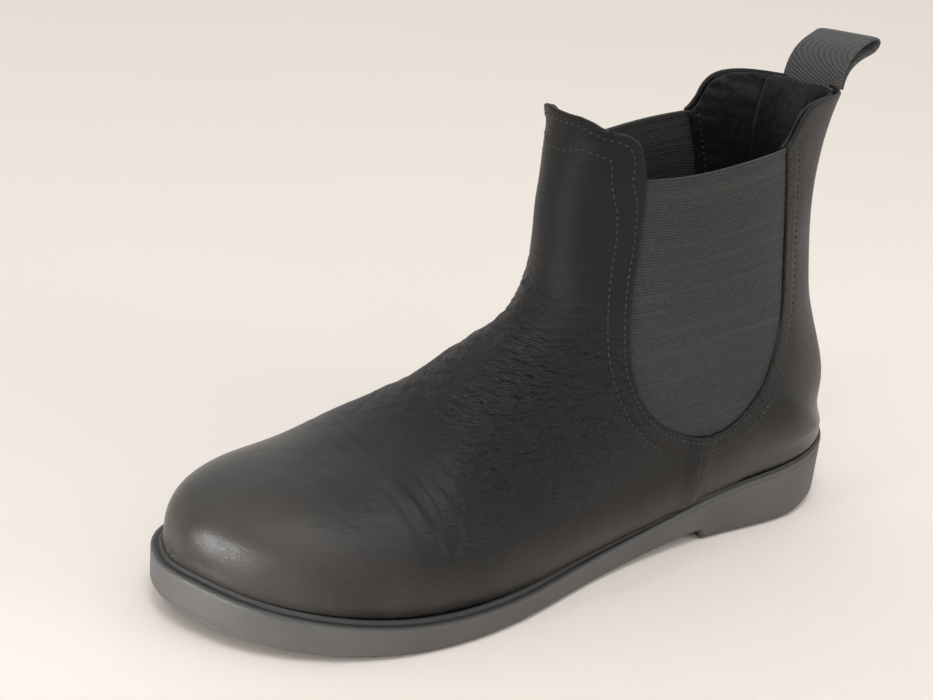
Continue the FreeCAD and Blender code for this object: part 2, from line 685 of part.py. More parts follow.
def stitch_row(line, side, inset=0.0, outward=1):
    """Stitches along a side-view line, as short round bars lying on the surface."""
    curve = path_edge(vectors(line))
    count = int(curve.Length / STITCH_PITCH)
    bars = []
    for i in range(count):
        spots = curve.discretize(Number=2 * count + 1)
        a = surface_point(spots[2 * i].x, spots[2 * i].z, side, inset)
        b = surface_point(spots[2 * i + 1].x, spots[2 * i + 1].z, side, inset)
        middle = (a + b) * .5
        up = surface_point(middle.x, middle.z + .5, side, inset)
        ahead = surface_point(middle.x + .5, middle.z, side, inset)
        here = surface_point(middle.x, middle.z, side, inset)
        normal = (up - here).cross(ahead - here).normalize() * side * outward
        run = (b - a).normalize()
        hollow = max((a - here).dot(normal), (b - here).dot(normal), 0)
        start = here + normal * (THREAD / 2 + THREAD_LIFT + hollow) - run * (STITCH_LONG / 2)
        bars.append(Part.makeCylinder(THREAD / 2, STITCH_LONG, start, run))
    return bars


NEAR_ROW = 2.2
FAR_ROW = 8.0
front_lines = (shifted(GORE_FRONT[:-1], NEAR_ROW), shifted(GORE_FRONT[:-1], FAR_ROW))
rear_lines = (shifted(GORE_REAR[2:], NEAR_ROW), shifted(GORE_REAR[2:], FAR_ROW))
TOP_ROW = [(132.1, 147), (133.4, 152.5), (136.5, 156.2), (139.5, 157)]
SEAM_LINES = ([(SEAM_X + 2.5, 43), (SEAM_X + 2.5, 24)], [(SEAM_X + 6, 43), (SEAM_X + 6, 24)])
LINING_EDGE = shifted(GORE_REAR[2:], 3.0)


def stitching(name, rows):
    bars = []
    for line, inset, outward in rows:
        for side in (LATERAL, MEDIAL):
            bars += stitch_row(line, side, inset, outward)
    return piece(helper(name, Part.makeCompound(bars)))


stitching("vamp_stitching", [(line, 0, 1) for line in front_lines + (TOP_ROW,)])
stitching("quarter_stitching", [(line, 0, 1) for line in rear_lines])
stitching("seam_stitching", [(line, 0, 1) for line in SEAM_LINES])
stitching("lining_stitching", [(LINING_EDGE, LINING_IN, -1)])

# ------------------------------------------------------------------ place, check, write
doc.recompute()
bounds = FreeCAD.BoundBox()
for obj in PIECES:
    bounds.add(obj.Shape.optimalBoundingBox(True, False))
origin = FreeCAD.Vector(-(bounds.XMin + bounds.XMax) / 2, -(bounds.YMin + bounds.YMax) / 2, -bounds.ZMin)
os.makedirs("parts", exist_ok=True)
for obj in doc.Objects:
    if "Invalid" in obj.State or "Error" in obj.State:
        raise RuntimeError("%s failed: %s" % (obj.Name, obj.State))
for obj in PIECES:
    placed = obj.Shape.copy()
    placed.translate(origin)
    if placed.isNull() or not placed.isValid():
        raise RuntimeError("%s has no valid shape" % obj.Label)
    print("%-24s solids %3d  volume %9.1f mm3" % (obj.Label, len(placed.Solids), placed.Volume))
    placed.exportStep("parts/%s.step" % obj.Label)
print("moved by", origin, "overall", bounds.XLength, bounds.YLength, bounds.ZLength)
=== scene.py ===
"""Looks of a left chelsea boot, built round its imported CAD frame.

Shapes are worked out in millimetres in the same working frame as the CAD source (X from the heel's
back to the toe, +Y lateral, +Z up) and moved into the row frame, in metres, when a mesh is made.
The upper's pieces are cut out of skins of one last shape, along lines drawn in side view.
"""
import math

import bpy
import numpy as np
from mathutils import Matrix, Vector, noise


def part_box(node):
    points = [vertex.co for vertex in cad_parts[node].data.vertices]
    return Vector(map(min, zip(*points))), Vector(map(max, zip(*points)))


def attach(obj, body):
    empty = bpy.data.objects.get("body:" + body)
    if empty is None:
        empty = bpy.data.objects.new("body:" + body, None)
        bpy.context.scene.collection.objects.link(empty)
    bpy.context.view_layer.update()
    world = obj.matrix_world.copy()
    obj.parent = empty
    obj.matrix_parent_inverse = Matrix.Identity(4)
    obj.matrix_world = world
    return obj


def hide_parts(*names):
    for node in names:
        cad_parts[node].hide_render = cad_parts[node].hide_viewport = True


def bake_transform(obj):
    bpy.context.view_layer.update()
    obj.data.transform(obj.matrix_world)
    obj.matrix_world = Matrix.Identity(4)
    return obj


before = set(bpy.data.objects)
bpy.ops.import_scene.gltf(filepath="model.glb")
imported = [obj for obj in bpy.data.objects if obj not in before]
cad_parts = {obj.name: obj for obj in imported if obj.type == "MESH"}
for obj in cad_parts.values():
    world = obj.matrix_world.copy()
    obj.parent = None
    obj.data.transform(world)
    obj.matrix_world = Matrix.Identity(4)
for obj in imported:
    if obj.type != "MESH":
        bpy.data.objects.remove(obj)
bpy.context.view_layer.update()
rng = np.random.default_rng(7)

# ------------------------------------------------------------------ driving dimensions, mm
HEEL_X = -2.0
TOE_X = 285.0
SOLE_LENGTH = TOE_X - HEEL_X
UPPER_HEEL_X = HEEL_X + 1.4
UPPER_TOE_X = TOE_X - 4.4
SEAT_DEPTH = 2.0
BREAST_X = 75.0
BREAST_STEP = 4.0
BREAST_SLOPE = 3.0
LEATHER = 1.8
MIDDLE = 1.2
LINING = 1.0
STRIP = 0.9
THREAD = 0.55
STITCH_LONG = 1.6
STITCH_PITCH = 2.6
STITCH_LIFT = 0.08
LATERAL = 1
MEDIAL = -1


# ------------------------------------------------------------------ smooth curves through points
def spline(points):
    """Natural cubic spline through (x, y) pairs, held at its end values. Works on arrays."""
    xs, ys = (np.array(v, float) for v in zip(*points))
    count = len(xs)
    gap = np.diff(xs)
    system = np.eye(count)
    rhs = np.zeros(count)
    for i in range(1, count - 1):
        system[i, i - 1:i + 2] = gap[i - 1], 2 * (gap[i - 1] + gap[i]), gap[i]
        rhs[i] = 6 * ((ys[i + 1] - ys[i]) / gap[i] - (ys[i] - ys[i - 1]) / gap[i - 1])
    bend = np.linalg.solve(system, rhs)

    def value(x):
        x = np.clip(x, xs[0], xs[-1])
        i = np.clip(np.searchsorted(xs, x, side="right") - 1, 0, count - 2)
        a = (xs[i + 1] - x) / gap[i]
        b = 1 - a
        curve = ((a ** 3 - a) * bend[i] + (b ** 3 - b) * bend[i + 1]) * gap[i] ** 2 / 6
        return a * ys[i] + b * ys[i + 1] + curve

    return value


def smooth_line(points, step=1.0):
    """Dense points along a smooth curve through side-view points."""
    points = np.array(points, float)
    along_line = np.r_[0, np.cumsum(np.hypot(*np.diff(points, axis=0).T))]
    if len(points) > 2:
        parts = [spline(list(zip(along_line, points[:, k]))) for k in (0, 1)]
    else:
        parts = [lambda t, k=k: np.interp(t, along_line, points[:, k]) for k in (0, 1)]
    t = np.linspace(0, along_line[-1], max(int(along_line[-1] / step), 2) + 1)
    return np.stack([part(t) for part in parts], axis=1)


def smoothstep(x):
    x = np.clip(x, 0, 1)
    return x * x * (3 - 2 * x)


def unit(vectors):
    """Vectors of length 1, along the last axis."""
    return vectors / np.maximum(np.linalg.norm(vectors, axis=-1, keepdims=True), 1e-9)


def bump(x, width):
    """Soft bell of height 1 and the given half width."""
    return np.exp(-(x / width) ** 2)


# ------------------------------------------------------------------ the sole's plan outline
# (share of the length from heel to toe, distance from the long axis as a share of the length)
LATERAL_EDGE = [(0, 0), (.022, .0634), (.07, .098), (.14, .1129), (.25, .111), (.36, .118),
                (.48, .1374), (.60, .1697), (.70, .1832), (.80, .1728), (.88, .1416),
                (.95, .0839), (.988, .022), (1, -.025)]
MEDIAL_EDGE = [(0, 0), (.022, -.0616), (.07, -.0961), (.14, -.1073), (.25, -.0961), (.38, -.088),
               (.5, -.1088), (.62, -.1471), (.73, -.1761), (.81, -.174), (.89, -.1554),
               (.955, -.1206), (.99, -.073), (1, -.025)]


def edge_curve(edge):
    return spline([(math.acos(1 - 2 * share) / math.pi, y * SOLE_LENGTH) for share, y in edge])


EDGE = {LATERAL: edge_curve(LATERAL_EDGE), MEDIAL: edge_curve(MEDIAL_EDGE)}
WIDEST_HALF = 52
middle_line = spline([(0, 0), (.3, 0), (.6, -.5), (.8, -3.5), (1, -.025 * SOLE_LENGTH)])
feather_height = spline([(-2, 32.0), (10, 29), (30, 26), (55, 23), (80, 19), (105, 15), (130, 12.5),
                         (160, 11.5), (190, 11.7), (220, 13), (250, 16.5), (270, 20), (281, 22.5)])


def along(share, start=HEEL_X, end=TOE_X):
    """X of the outline parameter, which runs 0 to 1 from heel to toe."""
    return start + (end - start) * (1 - np.cos(math.pi * share)) / 2


def ledge_width(share):
    """How far the sole stands out past the upper: narrow round the heel, wide round the forefoot."""
    return 1.3 + 3.2 * smoothstep((share - .28) / .3)


def feather_half_width(share, side):
    """Half width of the upper where it meets the sole, from the middle line."""
    full = np.abs(EDGE[side](share) - middle_line(share))
    return full * (1 - ledge_width(share) / WIDEST_HALF)


# ------------------------------------------------------------------ the last
# Stations run from the toe (0) over the instep to the shaft's top (18). At each one a flat section
# stands on a line in side view, from its front point F to its end E. E follows the feather line
# round to the heel (stations 0 to 12), then climbs the back of the shaft (12 to 18).
HEEL_STATION = 12
TOP_STATION = 18
FEATHER_SHARE = [.985, .955, .92, .87, .80, .72, .64, .56, .48, .39, .29, .18, .00]
BACK_HEIGHT = [32, 50, 75, 100, 125, 148, 172]
FRONT_X = [280.3, 278.9, 274.5, 264.5, 247, 225, 204.5, 185.5, 167.5, 152.5, 146.6, 146.2, 146.2,
           145.8, 145.2, 144.4, 143.6, 143.2, 143.2]
FRONT_Z = [25, 33.5, 40.5, 45.3, 48.3, 51.3, 60.5, 72.5, 82.8, 92.5, 106, 119.5, 131, 139, 147,
           154.5, 162, 169, 178]
BACK_X = [(30, -.6), (45, -1.0), (65, 5.0), (90, 14.5), (115, 19.5), (135, 20.5), (150, 19), (166, 14),
          (172, 11)]
LATERAL_HALF = [41.5, 36.5, 34.5, 33.5, 32.5, 32, 31.5, 31.5, 32.5, 34, 35.5]
MEDIAL_HALF = [37.5, 34.5, 33.5, 32.5, 32, 31.5, 31, 30, 29, 28.5, 28.5]
WIDEST = [.3, .3, .3, .3, .3, .28, .27, .27, .30, .36, .40, .42, .44, .46, .48, .50, .52, .54, .56]
FRONT_POWER = [2.0, 2.1, 2.2, 2.3, 2.3, 2.2, 2.15, 2.1, 2.1, 2.1, 2.1, 2.1, 2.2, 2.2, 2.2, 2.3,
               2.4, 2.6, 2.6]
BACK_POWER = [2.3, 2.4, 2.6, 2.8, 2.8, 2.8, 2.8, 2.6, 2.5, 2.3, 2.1, 2.0, 1.87, 1.87, 1.87, 1.87,
              1.87, 1.87, 1.87]
CENTRE_Y = [-6.8, -6.3, -5.6, -4.8, -3.8, -2.6, -1.6, -.9, -.4, 0, 0, 0, 0, 0, 0, 0, -.5, -1.5, -2.5]
BACK_LEAN = [0] * 15 + [-1.0, -2.5, -3.6, -4.5]
BACK_SKEW = [0] * 15 + [.05, .12, .18, .22]
UNDERHANG = 8.0
BOXIEST = 8.0
WALL_SWELL = 1.045
SWELL_EXTRA = 0.6


def station_curve(values):
    return spline(list(zip(range(TOP_STATION + 1), values)))


def half_widths(side, upper_values):
    """Largest half width of each section: from the feather line at the toe, then as listed."""
    low = [float(feather_half_width(s, side)) * WALL_SWELL + SWELL_EXTRA for s in FEATHER_SHARE[:8]]
    return station_curve(low + upper_values)


front_x = station_curve(FRONT_X)
front_z = station_curve(FRONT_Z)
widest_at = station_curve(WIDEST)
front_power = station_curve(FRONT_POWER)
back_power = station_curve(BACK_POWER)
centre_y = station_curve(CENTRE_Y)
back_lean = station_curve(BACK_LEAN)
back_skew = station_curve(BACK_SKEW)
half_width = {LATERAL: half_widths(LATERAL, LATERAL_HALF), MEDIAL: half_widths(MEDIAL, MEDIAL_HALF)}
feather_share = spline(list(zip(range(HEEL_STATION + 1), FEATHER_SHARE)))
back_height = spline(list(zip(range(HEEL_STATION, TOP_STATION + 1), BACK_HEIGHT)))
back_x = spline(BACK_X)


def section_end(station):
    """End point E of each section and its share along the sole's outline."""
    share = np.maximum(feather_share(np.minimum(station, HEEL_STATION)), 0)
    low_x = along(share, UPPER_HEEL_X, UPPER_TOE_X)
    high_z = back_height(np.maximum(station, HEEL_STATION))
    low = station <= HEEL_STATION
    return (np.where(low, low_x, back_x(high_z)), np.where(low, feather_height(low_x), high_z),
            np.where(low, share, 0))


def lower_half(widest, foot, power, length):
    """How far past the widest place the rounded lower half of a section reaches, as a share of its
    length, and its power: it passes through the upper's half width at the feather line, and closes
    at most UNDERHANG below it."""
    reach = widest / (1 - foot ** power) ** (1 / power)
    deep = (reach - widest) * length > UNDERHANG
    reach = np.where(deep, widest + UNDERHANG / length, reach)
    power = power * np.ones_like(reach)
    for _ in range(int(BOXIEST / .05)):
        grow = deep & (power < BOXIEST) & (foot ** power + (widest / reach) ** power > 1)
        power = np.where(grow, power + .05, power)
    return reach, power


class Section:
    """The section lines at some stations, as arrays."""

    def __init__(self, station):
        self.station = np.asarray(station, float)
        self.end_x, self.end_z, self.share = section_end(self.station)
        self.run_x = front_x(self.station) - self.end_x
        self.run_z = front_z(self.station) - self.end_z
        self.length = np.hypot(self.run_x, self.run_z)
        self.widest = widest_at(self.station)
        self.centre = centre_y(self.station)
        self.lean = back_lean(self.station)
        self.skew = back_skew(self.station)
        self.front_power = front_power(self.station)
        self.half = {side: half_width[side](self.station) for side in (LATERAL, MEDIAL)}
        self.lower = {}
        for side in (LATERAL, MEDIAL):
            foot = np.minimum(feather_half_width(self.share, side) / self.half[side], .985)
            foot = np.where(self.station < HEEL_STATION, foot, 0)
            self.lower[side] = lower_half(self.widest, foot, back_power(self.station), self.length)


def last_points(station, side, angle, inset=0.0):
    """Points of the last. The angle is 90 at the front, 0 at the widest place and -90 at the end
    of the full rounded section, which lies under the feather line where the sole covers it."""
    line = Section(station)
    toe_shift = inset * np.maximum(1 - line.station / 4, 0)
    half = line.half[side]
    cos_a = np.cos(np.radians(angle))
    sin_a = np.sin(np.radians(angle))
    upper = angle >= 0
    reach, power = line.lower[side]
    power = np.where(upper, line.front_power, power)
    reach = np.where(upper, 1 - line.widest, reach)
    scale = (np.abs(cos_a) ** power + np.abs(sin_a) ** power) ** (-1 / power)
    place = line.widest + (reach - inset / line.length) * sin_a * scale
    out = (half - inset) * cos_a * scale
    rear = np.where(line.station > HEEL_STATION, (1 - place) ** 2, 0)
    y = line.centre + side * out + line.lean * rear
    place = place - line.skew * side * out * rear / line.length
    x = line.end_x + line.run_x * place - toe_shift
    return np.stack([x, y, line.end_z + line.run_z * place], axis=-1)


def find_station(x, z):
    """Stations whose section lines pass through side-view points."""
    low = np.zeros_like(x)
    high = np.full_like(x, TOP_STATION)
    for _ in range(34):
        middle = (low + high) / 2
        end_x, end_z, _ = section_end(middle)
        run_x = front_x(middle) - end_x
        run_z = front_z(middle) - end_z
        ahead = run_x * (z - end_z) - run_z * (x - end_x) > 0
        low = np.where(ahead, middle, low)
        high = np.where(ahead, high, middle)
    return (low + high) / 2


def surface_points(x, z, side, inset=0.0):
    """Points of the last at side-view places on one side of the boot."""
    x = np.asarray(x, float)
    z = np.asarray(z, float)
    line = Section(find_station(x, z))
    base = ((x - line.end_x) * line.run_x + (z - line.end_z) * line.run_z) / line.length ** 2
    half = line.half[side]
    skewed = np.zeros_like(x)
    for _ in range(6):
        rear = np.where(line.station > HEEL_STATION, (1 - base - skewed) ** 2, 0)
        place = base + skewed
        upper = place >= line.widest
        reach, power = line.lower[side]
        power = np.where(upper, line.front_power, power)
        reach = np.where(upper, 1 - line.widest, reach) - inset / line.length
        part = np.minimum(np.abs(place - line.widest) / reach, 1)
        out = (half - inset) * (1 - part ** power) ** (1 / power)
        skewed = line.skew * side * out * rear / line.length
    return np.stack([x, line.centre + side * out + line.lean * rear, z], axis=-1)


# ------------------------------------------------------------------ side-view lines, (x, z)
REAR = -30.0
AHEAD = 310.0
UNDER = -20.0
OVER = 210.0
FRONT_TOP = [(160, 156), (149, 160.5), (145.6, 164.2), (143, 165.9), (140.6, 165), (138.4, 163.4),
             (135.6, 162.7), (131.8, 162), (128.6, 159.6), (126.4, 154.6), (124.1, 147)]
GORE_TOP = [(124.1, 147), (108, 148.5), (93, 150.5), (77, 152.7), (62, 154.5)]
EAR_TOP = [(62, 154.5), (58.6, 157.8), (55.4, 163.4), (51.6, 167.2), (45, 169.2), (34, 169.4),
           (20, 168), (5, 166.8), (REAR, 166)]
GORE_FRONT = [(124.1, 147), (122.6, 128), (123.3, 107), (124, 90), (123.2, 78), (120, 69),
              (111.4, 58.4), (99.8, 51.4), (88.8, 47.6), (82, 47)]
GORE_REAR = [(82, 47), (75, 48.2), (67.5, 52.2), (57.4, 63.3), (51.6, 84), (52.3, 110),
             (56.5, 135), (62, 154.5)]
SEAM_X = 82.0
GORE_MARGIN = 8.0
SEAT_X = [REAR, -2, 10, 20, 30, 42, 55, 67, 80, 92, 105, 117, 130, 145, 160, 175, 190, 205, 220, 235,
          250, 260, 270, 281, AHEAD]


def polygon(*runs):
    """Closed side-view outline from runs of points; a run of two is straight."""
    return np.concatenate([smooth_line(run, 2.0)[:-1] if len(run) > 2 else np.array(run[:1], float)
                           for run in runs])


def shifted(points, distance):
    """The same run of points moved sideways, to the left of its direction."""
    points = np.array(points, float)
    turn = unit(np.gradient(points, axis=0))
    return points + np.stack([-turn[:, 1], turn[:, 0]], axis=1) * distance


def line_distance(points, line):
    """Distance of an array of (x, z) from an open line."""
    flat = points.reshape(-1, 2)
    nearest = np.full(len(flat), np.inf)
    for a, b in zip(line, line[1:]):
        run = b - a
        t = np.clip(((flat - a) @ run) / max(run @ run, 1e-9), 0, 1)
        nearest = np.minimum(nearest, np.hypot(*(flat - a - t[:, None] * run).T))
    return nearest.reshape(points.shape[:-1])


def signed_distance(points, outline):
    """Distance in from a closed outline, for an array of (x, z): negative outside it."""
    x, z = points[..., 0], points[..., 1]
    inside = np.zeros(x.shape, bool)
    closed = np.concatenate([outline, outline[:1]])
    for a, b in zip(closed, closed[1:]):
        if a[1] != b[1]:
            crosses = (z > a[1]) != (z > b[1])
            inside ^= crosses & (x < a[0] + (z - a[1]) * (b[0] - a[0]) / (b[1] - a[1]))
    gap = line_distance(points, closed)
    return np.where(inside, gap, -gap)


seat = [(x, float(feather_height(x)) - SEAT_DEPTH) for x in SEAT_X]
BOOT_OUTLINE = polygon(seat, (seat[-1], (AHEAD, 156)), ((AHEAD, 156), (160, 156)), FRONT_TOP,
                       GORE_TOP, EAR_TOP, (EAR_TOP[-1], seat[0]))
KNEE = (SEAM_X, 47)
FRONT_OUTLINE = polygon(((SEAM_X, UNDER), (AHEAD, UNDER)), ((AHEAD, UNDER), (AHEAD, OVER)),
                        ((AHEAD, OVER), (124.1, OVER)), ((124.1, OVER), (124.1, 147)), GORE_FRONT,
                        (KNEE, (SEAM_X, UNDER)))
REAR_OUTLINE = polygon(((SEAM_X, UNDER), KNEE), GORE_REAR, ((62, 154.5), (62, OVER)),
                       ((62, OVER), (REAR, OVER)), ((REAR, OVER), (REAR, UNDER)),
                       ((REAR, UNDER), (SEAM_X, UNDER)))

# ------------------------------------------------------------------ mesh helpers
MM = 0.001
SHARES = np.linspace(0, 1, 400)
sole_corner = np.array(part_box("outsole")[0]) / MM
SHIFT = np.array([sole_corner[0] - HEEL_X, sole_corner[1] - EDGE[MEDIAL](SHARES).min(), 0])


def placed(points):
    """Working millimetres to the row frame's metres."""
    return (np.asarray(points) + SHIFT) * MM


# pieces of the shaft's back, which bends away from the foot over a slanting band that starts at the front
# seam; they stay unparented in the row frame
FLEXING = "flexing"


def make_mesh(name, points, faces, material, body):
    """Mesh object from working-frame points; it rides on its body, or, for the flexing pieces of
    the upper, stays unparented in the row frame."""
    mesh = bpy.data.meshes.new(name)
    mesh.from_pydata(placed(points).tolist(), [], [list(map(int, f)) for f in faces])
    mesh.validate()
    obj = bpy.data.objects.new(name, mesh)
    bpy.context.collection.objects.link(obj)
    mesh.materials.append(material)
    mesh.shade_smooth()
    if body == FLEXING:
        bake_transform(obj)
    else:
        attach(obj, body)
    return obj


def grid_faces(rows, cols, wrap=False):
    """Quads of a grid of points, in row order; wrap joins the last column to the first."""
    faces = []
    for r in range(rows - 1):
        for c in range(cols if wrap else cols - 1):
            d = (c + 1) % cols
            faces.append((r * cols + c, r * cols + d, (r + 1) * cols + d, (r + 1) * cols + c))
    return faces


# ------------------------------------------------------------------ the skin grid
STATION_STEP = 0.06
ANGLE_STEP = 2.0
TOE_CAP = [.03, .35, .7]
TOE_BULGE = 0.8
stations = np.r_[np.zeros(len(TOE_CAP)), np.arange(0, TOP_STATION + STATION_STEP / 2, STATION_STEP)]
half_turn = np.arange(-90, 90 + ANGLE_STEP / 2, ANGLE_STEP)
SIDE_COLS = len(half_turn)


def skin_grid(inset):
    """Points of the last on a grid: columns run up the lateral side and down the medial side. The
    first rows close the toe, shrinking the first section towards its middle."""
    s = stations[:, None]
    lateral = last_points(s, LATERAL, half_turn[None, :], inset)
    medial = last_points(s, MEDIAL, half_turn[None, ::-1], inset)
    grid = np.concatenate([lateral, medial[:, 1:]], axis=1)
    middle = grid[0].mean(axis=0)
    for row, share in enumerate(TOE_CAP):
        grid[row] = middle + (grid[row] - middle) * share + (TOE_BULGE * (1 - share ** 2), 0, 0)
    return grid


def grid_normals(points):
    down = np.gradient(points, axis=0)
    across = np.gradient(points, axis=1)
    normals = unit(np.cross(across, down))
    middle = points.mean(axis=1, keepdims=True)
    flip = np.sign(((points - middle) * normals).sum(axis=-1).mean())
    return normals * flip


def cells(shape):
    """Corner indices of each cell of a grid, in order round the cell."""
    rows, cols = shape
    for first in (r * cols + c for r in range(rows - 1) for c in range(cols - 1)):
        yield first, first + 1, first + cols + 1, first + cols


def clip_grid(inside):
    """Cuts a grid along the zero line of a value that is positive inside. Returns the new
    vertices as pairs of grid indices with a mix, and the faces."""
    flat = inside.ravel()
    known = {}
    pairs = []
    faces = []

    def vertex(a, b, mix):
        key = (a, b)
        if key not in known:
            known[key] = len(pairs)
            pairs.append((a, b, mix))
        return known[key]

    for corners in cells(inside.shape):
        if max(flat[k] for k in corners) <= 0:
            continue
        face = []
        for a, b in zip(corners, corners[1:] + corners[:1]):
            if flat[a] > 0:
                face.append(vertex(a, a, 0.0))
            if (flat[a] > 0) != (flat[b] > 0):
                lo, hi = min(a, b), max(a, b)
                face.append(vertex(lo, hi, flat[lo] / (flat[lo] - flat[hi])))
        if len(face) > 2:
            faces.append(face)
    return pairs, faces


def mixed(values, pairs):
    flat = values.reshape(-1, values.shape[-1]) if values.ndim == 3 else values.reshape(-1, 1)
    a, b, mix = (np.array(v) for v in zip(*pairs))
    mix = mix[:, None]
    return flat[a] * (1 - mix) + flat[b] * mix


def facing(outer, inner, faces):
    """Turns the faces so that they look away from the inner surface."""
    face = faces[len(faces) // 2]
    a, b, c = (outer[v] for v in face[:3])
    if np.cross(b - a, c - b) @ (outer[face[0]] - inner[face[0]]) < 0:
        return [list(reversed(f)) for f in faces]
    return faces


def thick_sheet(name, outer, inner, faces, look, body, bulge, rim_rows=3):
    """Closed sheet between two matching surfaces, with a rounded rim where its faces end."""
    count = len(outer)
    faces = facing(outer, inner, faces)
    used = {(a, b): True for face in faces for a, b in zip(face, face[1:] + face[:1])}
    rim = [(a, b) for a, b in used if (b, a) not in used]
    normal = unit(outer - inner)
    outward = {}
    for a, b in rim:
        push = np.cross(outer[b] - outer[a], normal[a])
        for v in (a, b):
            outward[v] = outward.get(v, 0) + push
    points = [outer, inner]
    start = 2 * count
    ring = {}
    extra = []
    for v, push in outward.items():
        push = unit(push)
        ring[v] = []
        for k in range(1, rim_rows + 1):
            turn = math.pi * k / (rim_rows + 1)
            share = (1 - math.cos(turn)) / 2
            spot = outer[v] * (1 - share) + inner[v] * share
            ring[v].append(start + len(extra))
            extra.append(spot + push * bulge * math.sin(turn) ** .7)
    points.append(np.array(extra).reshape(-1, 3))
    all_faces = list(faces) + [[v + count for v in reversed(face)] for face in faces]
    for a, b in rim:
        line_a = [a] + ring[a] + [a + count]
        line_b = [b] + ring[b] + [b + count]
        for k in range(len(line_a) - 1):
            all_faces.append([line_b[k], line_a[k], line_a[k + 1], line_b[k + 1]])
    return make_mesh(name, np.concatenate(points), all_faces, LOOKS[look], body)


# ------------------------------------------------------------------ materials
def material(name):
    mat = bpy.data.materials.new(name)
    mat.use_nodes = True
    tree = mat.node_tree
    shader = tree.nodes["Principled BSDF"]
    return mat, tree, shader


def node(tree, kind, **values):
    made = tree.nodes.new(kind)
    for key, value in values.items():
        if hasattr(made, key):
            setattr(made, key, value)
        else:
            made.inputs[key.replace("_", " ")].default_value = value
    return made


def place_in(tree, scale=(1, 1, 1)):
    """Object coordinates in metres, stretched by a scale."""
    coords = node(tree, "ShaderNodeTexCoord")
    mapping = node(tree, "ShaderNodeMapping")
    mapping.inputs["Scale"].default_value = scale
    tree.links.new(coords.outputs["Object"], mapping.inputs["Vector"])
    return mapping.outputs["Vector"]


def ramp_of(tree, value, low, high, low_at=0.3, high_at=0.7):
    ramp = node(tree, "ShaderNodeValToRGB")
    ramp.color_ramp.elements[0].position = low_at
    ramp.color_ramp.elements[1].position = high_at
    ramp.color_ramp.elements[0].color = low
    ramp.color_ramp.elements[1].color = high
    tree.links.new(value, ramp.inputs["Fac"])
    return ramp.outputs["Color"]


def bumped(tree, shader, heights):
    """Chains bump nodes: (height socket, strength, distance in metres)."""
    normal = None
    for height, strength, distance in heights:
        made = node(tree, "ShaderNodeBump")
        made.inputs["Strength"].default_value = strength
        made.inputs["Distance"].default_value = distance
        tree.links.new(height, made.inputs["Height"])
        if normal:
            tree.links.new(normal, made.inputs["Normal"])
        normal = made.outputs["Normal"]
    tree.links.new(normal, shader.inputs["Normal"])


def texture(tree, vector, kind, **values):
    """Procedural texture at the given coordinates."""
    made = node(tree, "ShaderNodeTex" + kind, **values)
    tree.links.new(vector, made.inputs["Vector"])
    return made


def grey(value, warm=0.0):
    return (value * (1 + warm), value, value * (1 - warm), 1)


def scaled(tree, value, factor):
    """Product of a socket and either a number or another socket."""
    made = node(tree, "ShaderNodeMath")
    made.operation = "MULTIPLY"
    tree.links.new(value, made.inputs[0])
    if isinstance(factor, float):
        made.inputs[1].default_value = factor
    else:
        tree.links.new(factor, made.inputs[1])
    return made.outputs["Value"]


def layer_of(tree, name):
    layer = node(tree, "ShaderNodeAttribute")
    layer.attribute_name = name
    return layer.outputs["Fac"]


def blended(tree, share, low, high):
    """Colour between two colours or sockets."""
    mix = node(tree, "ShaderNodeMix")
    mix.data_type = "RGBA"
    tree.links.new(share, mix.inputs[0])
    for value, socket in ((low, mix.inputs[6]), (high, mix.inputs[7])):
        if isinstance(value, tuple):
            socket.default_value = value
        else:
            tree.links.new(value, socket)
    return mix.outputs[2]


def leather_material(name, dark, light, rough_low, rough_high, grain=0.5, wrinkles=0.0, wear_and_sheen=None):
    mat, tree, shader = material(name)
    vector = place_in(tree)
    cloud = texture(tree, vector, "Noise", Scale=28.0, Detail=5.0, Roughness=0.6)
    colour = ramp_of(tree, cloud.outputs["Fac"], dark, light)
    # a paler colour where the leather is worn and where a painted sheen stands in for highlights
    if wear_and_sheen:
        rubbed_and_sheen = ramp_of(tree, cloud.outputs["Fac"], grey(.45), grey(1), .3, .6)
        colour = blended(tree, scaled(tree, layer_of(tree, "wear_and_sheen"), rubbed_and_sheen), colour, wear_and_sheen)
    tree.links.new(colour, shader.inputs["Base Color"])
    rough = ramp_of(tree, cloud.outputs["Fac"], grey(rough_low), grey(rough_high))
    if wear_and_sheen:
        rough = blended(tree, layer_of(tree, "wear_and_sheen"), rough, grey(.27))
    tree.links.new(rough, shader.inputs["Roughness"])
    cells = texture(tree, vector, "Voronoi", feature="DISTANCE_TO_EDGE", Scale=1500.0)
    cell_height = ramp_of(tree, cells.outputs["Distance"], grey(0), grey(1), 0.0, 0.22)
    pores = texture(tree, vector, "Noise", Scale=520.0, Detail=4.0, Roughness=0.65)
    heights = [(pores.outputs["Fac"], 0.35 * grain, 0.0006), (cell_height, grain * .5, 0.00012)]
    if wrinkles:
        stretched = place_in(tree, (190, 190, 680) if wear_and_sheen else (240, 240, 150))
        lines = texture(tree, stretched, "Noise", Scale=1.0, Detail=3.0, Roughness=0.55)
        ridged = ramp_of(tree, lines.outputs["Fac"], grey(0), grey(1), 0.28, 0.72)
        if wear_and_sheen:
            ridged = scaled(tree, ridged, layer_of(tree, "wrinkled"))
        heights.append((ridged, wrinkles, 0.0010))
    bumped(tree, shader, heights)
    shader.inputs["Specular IOR Level"].default_value = 0.27
    return mat


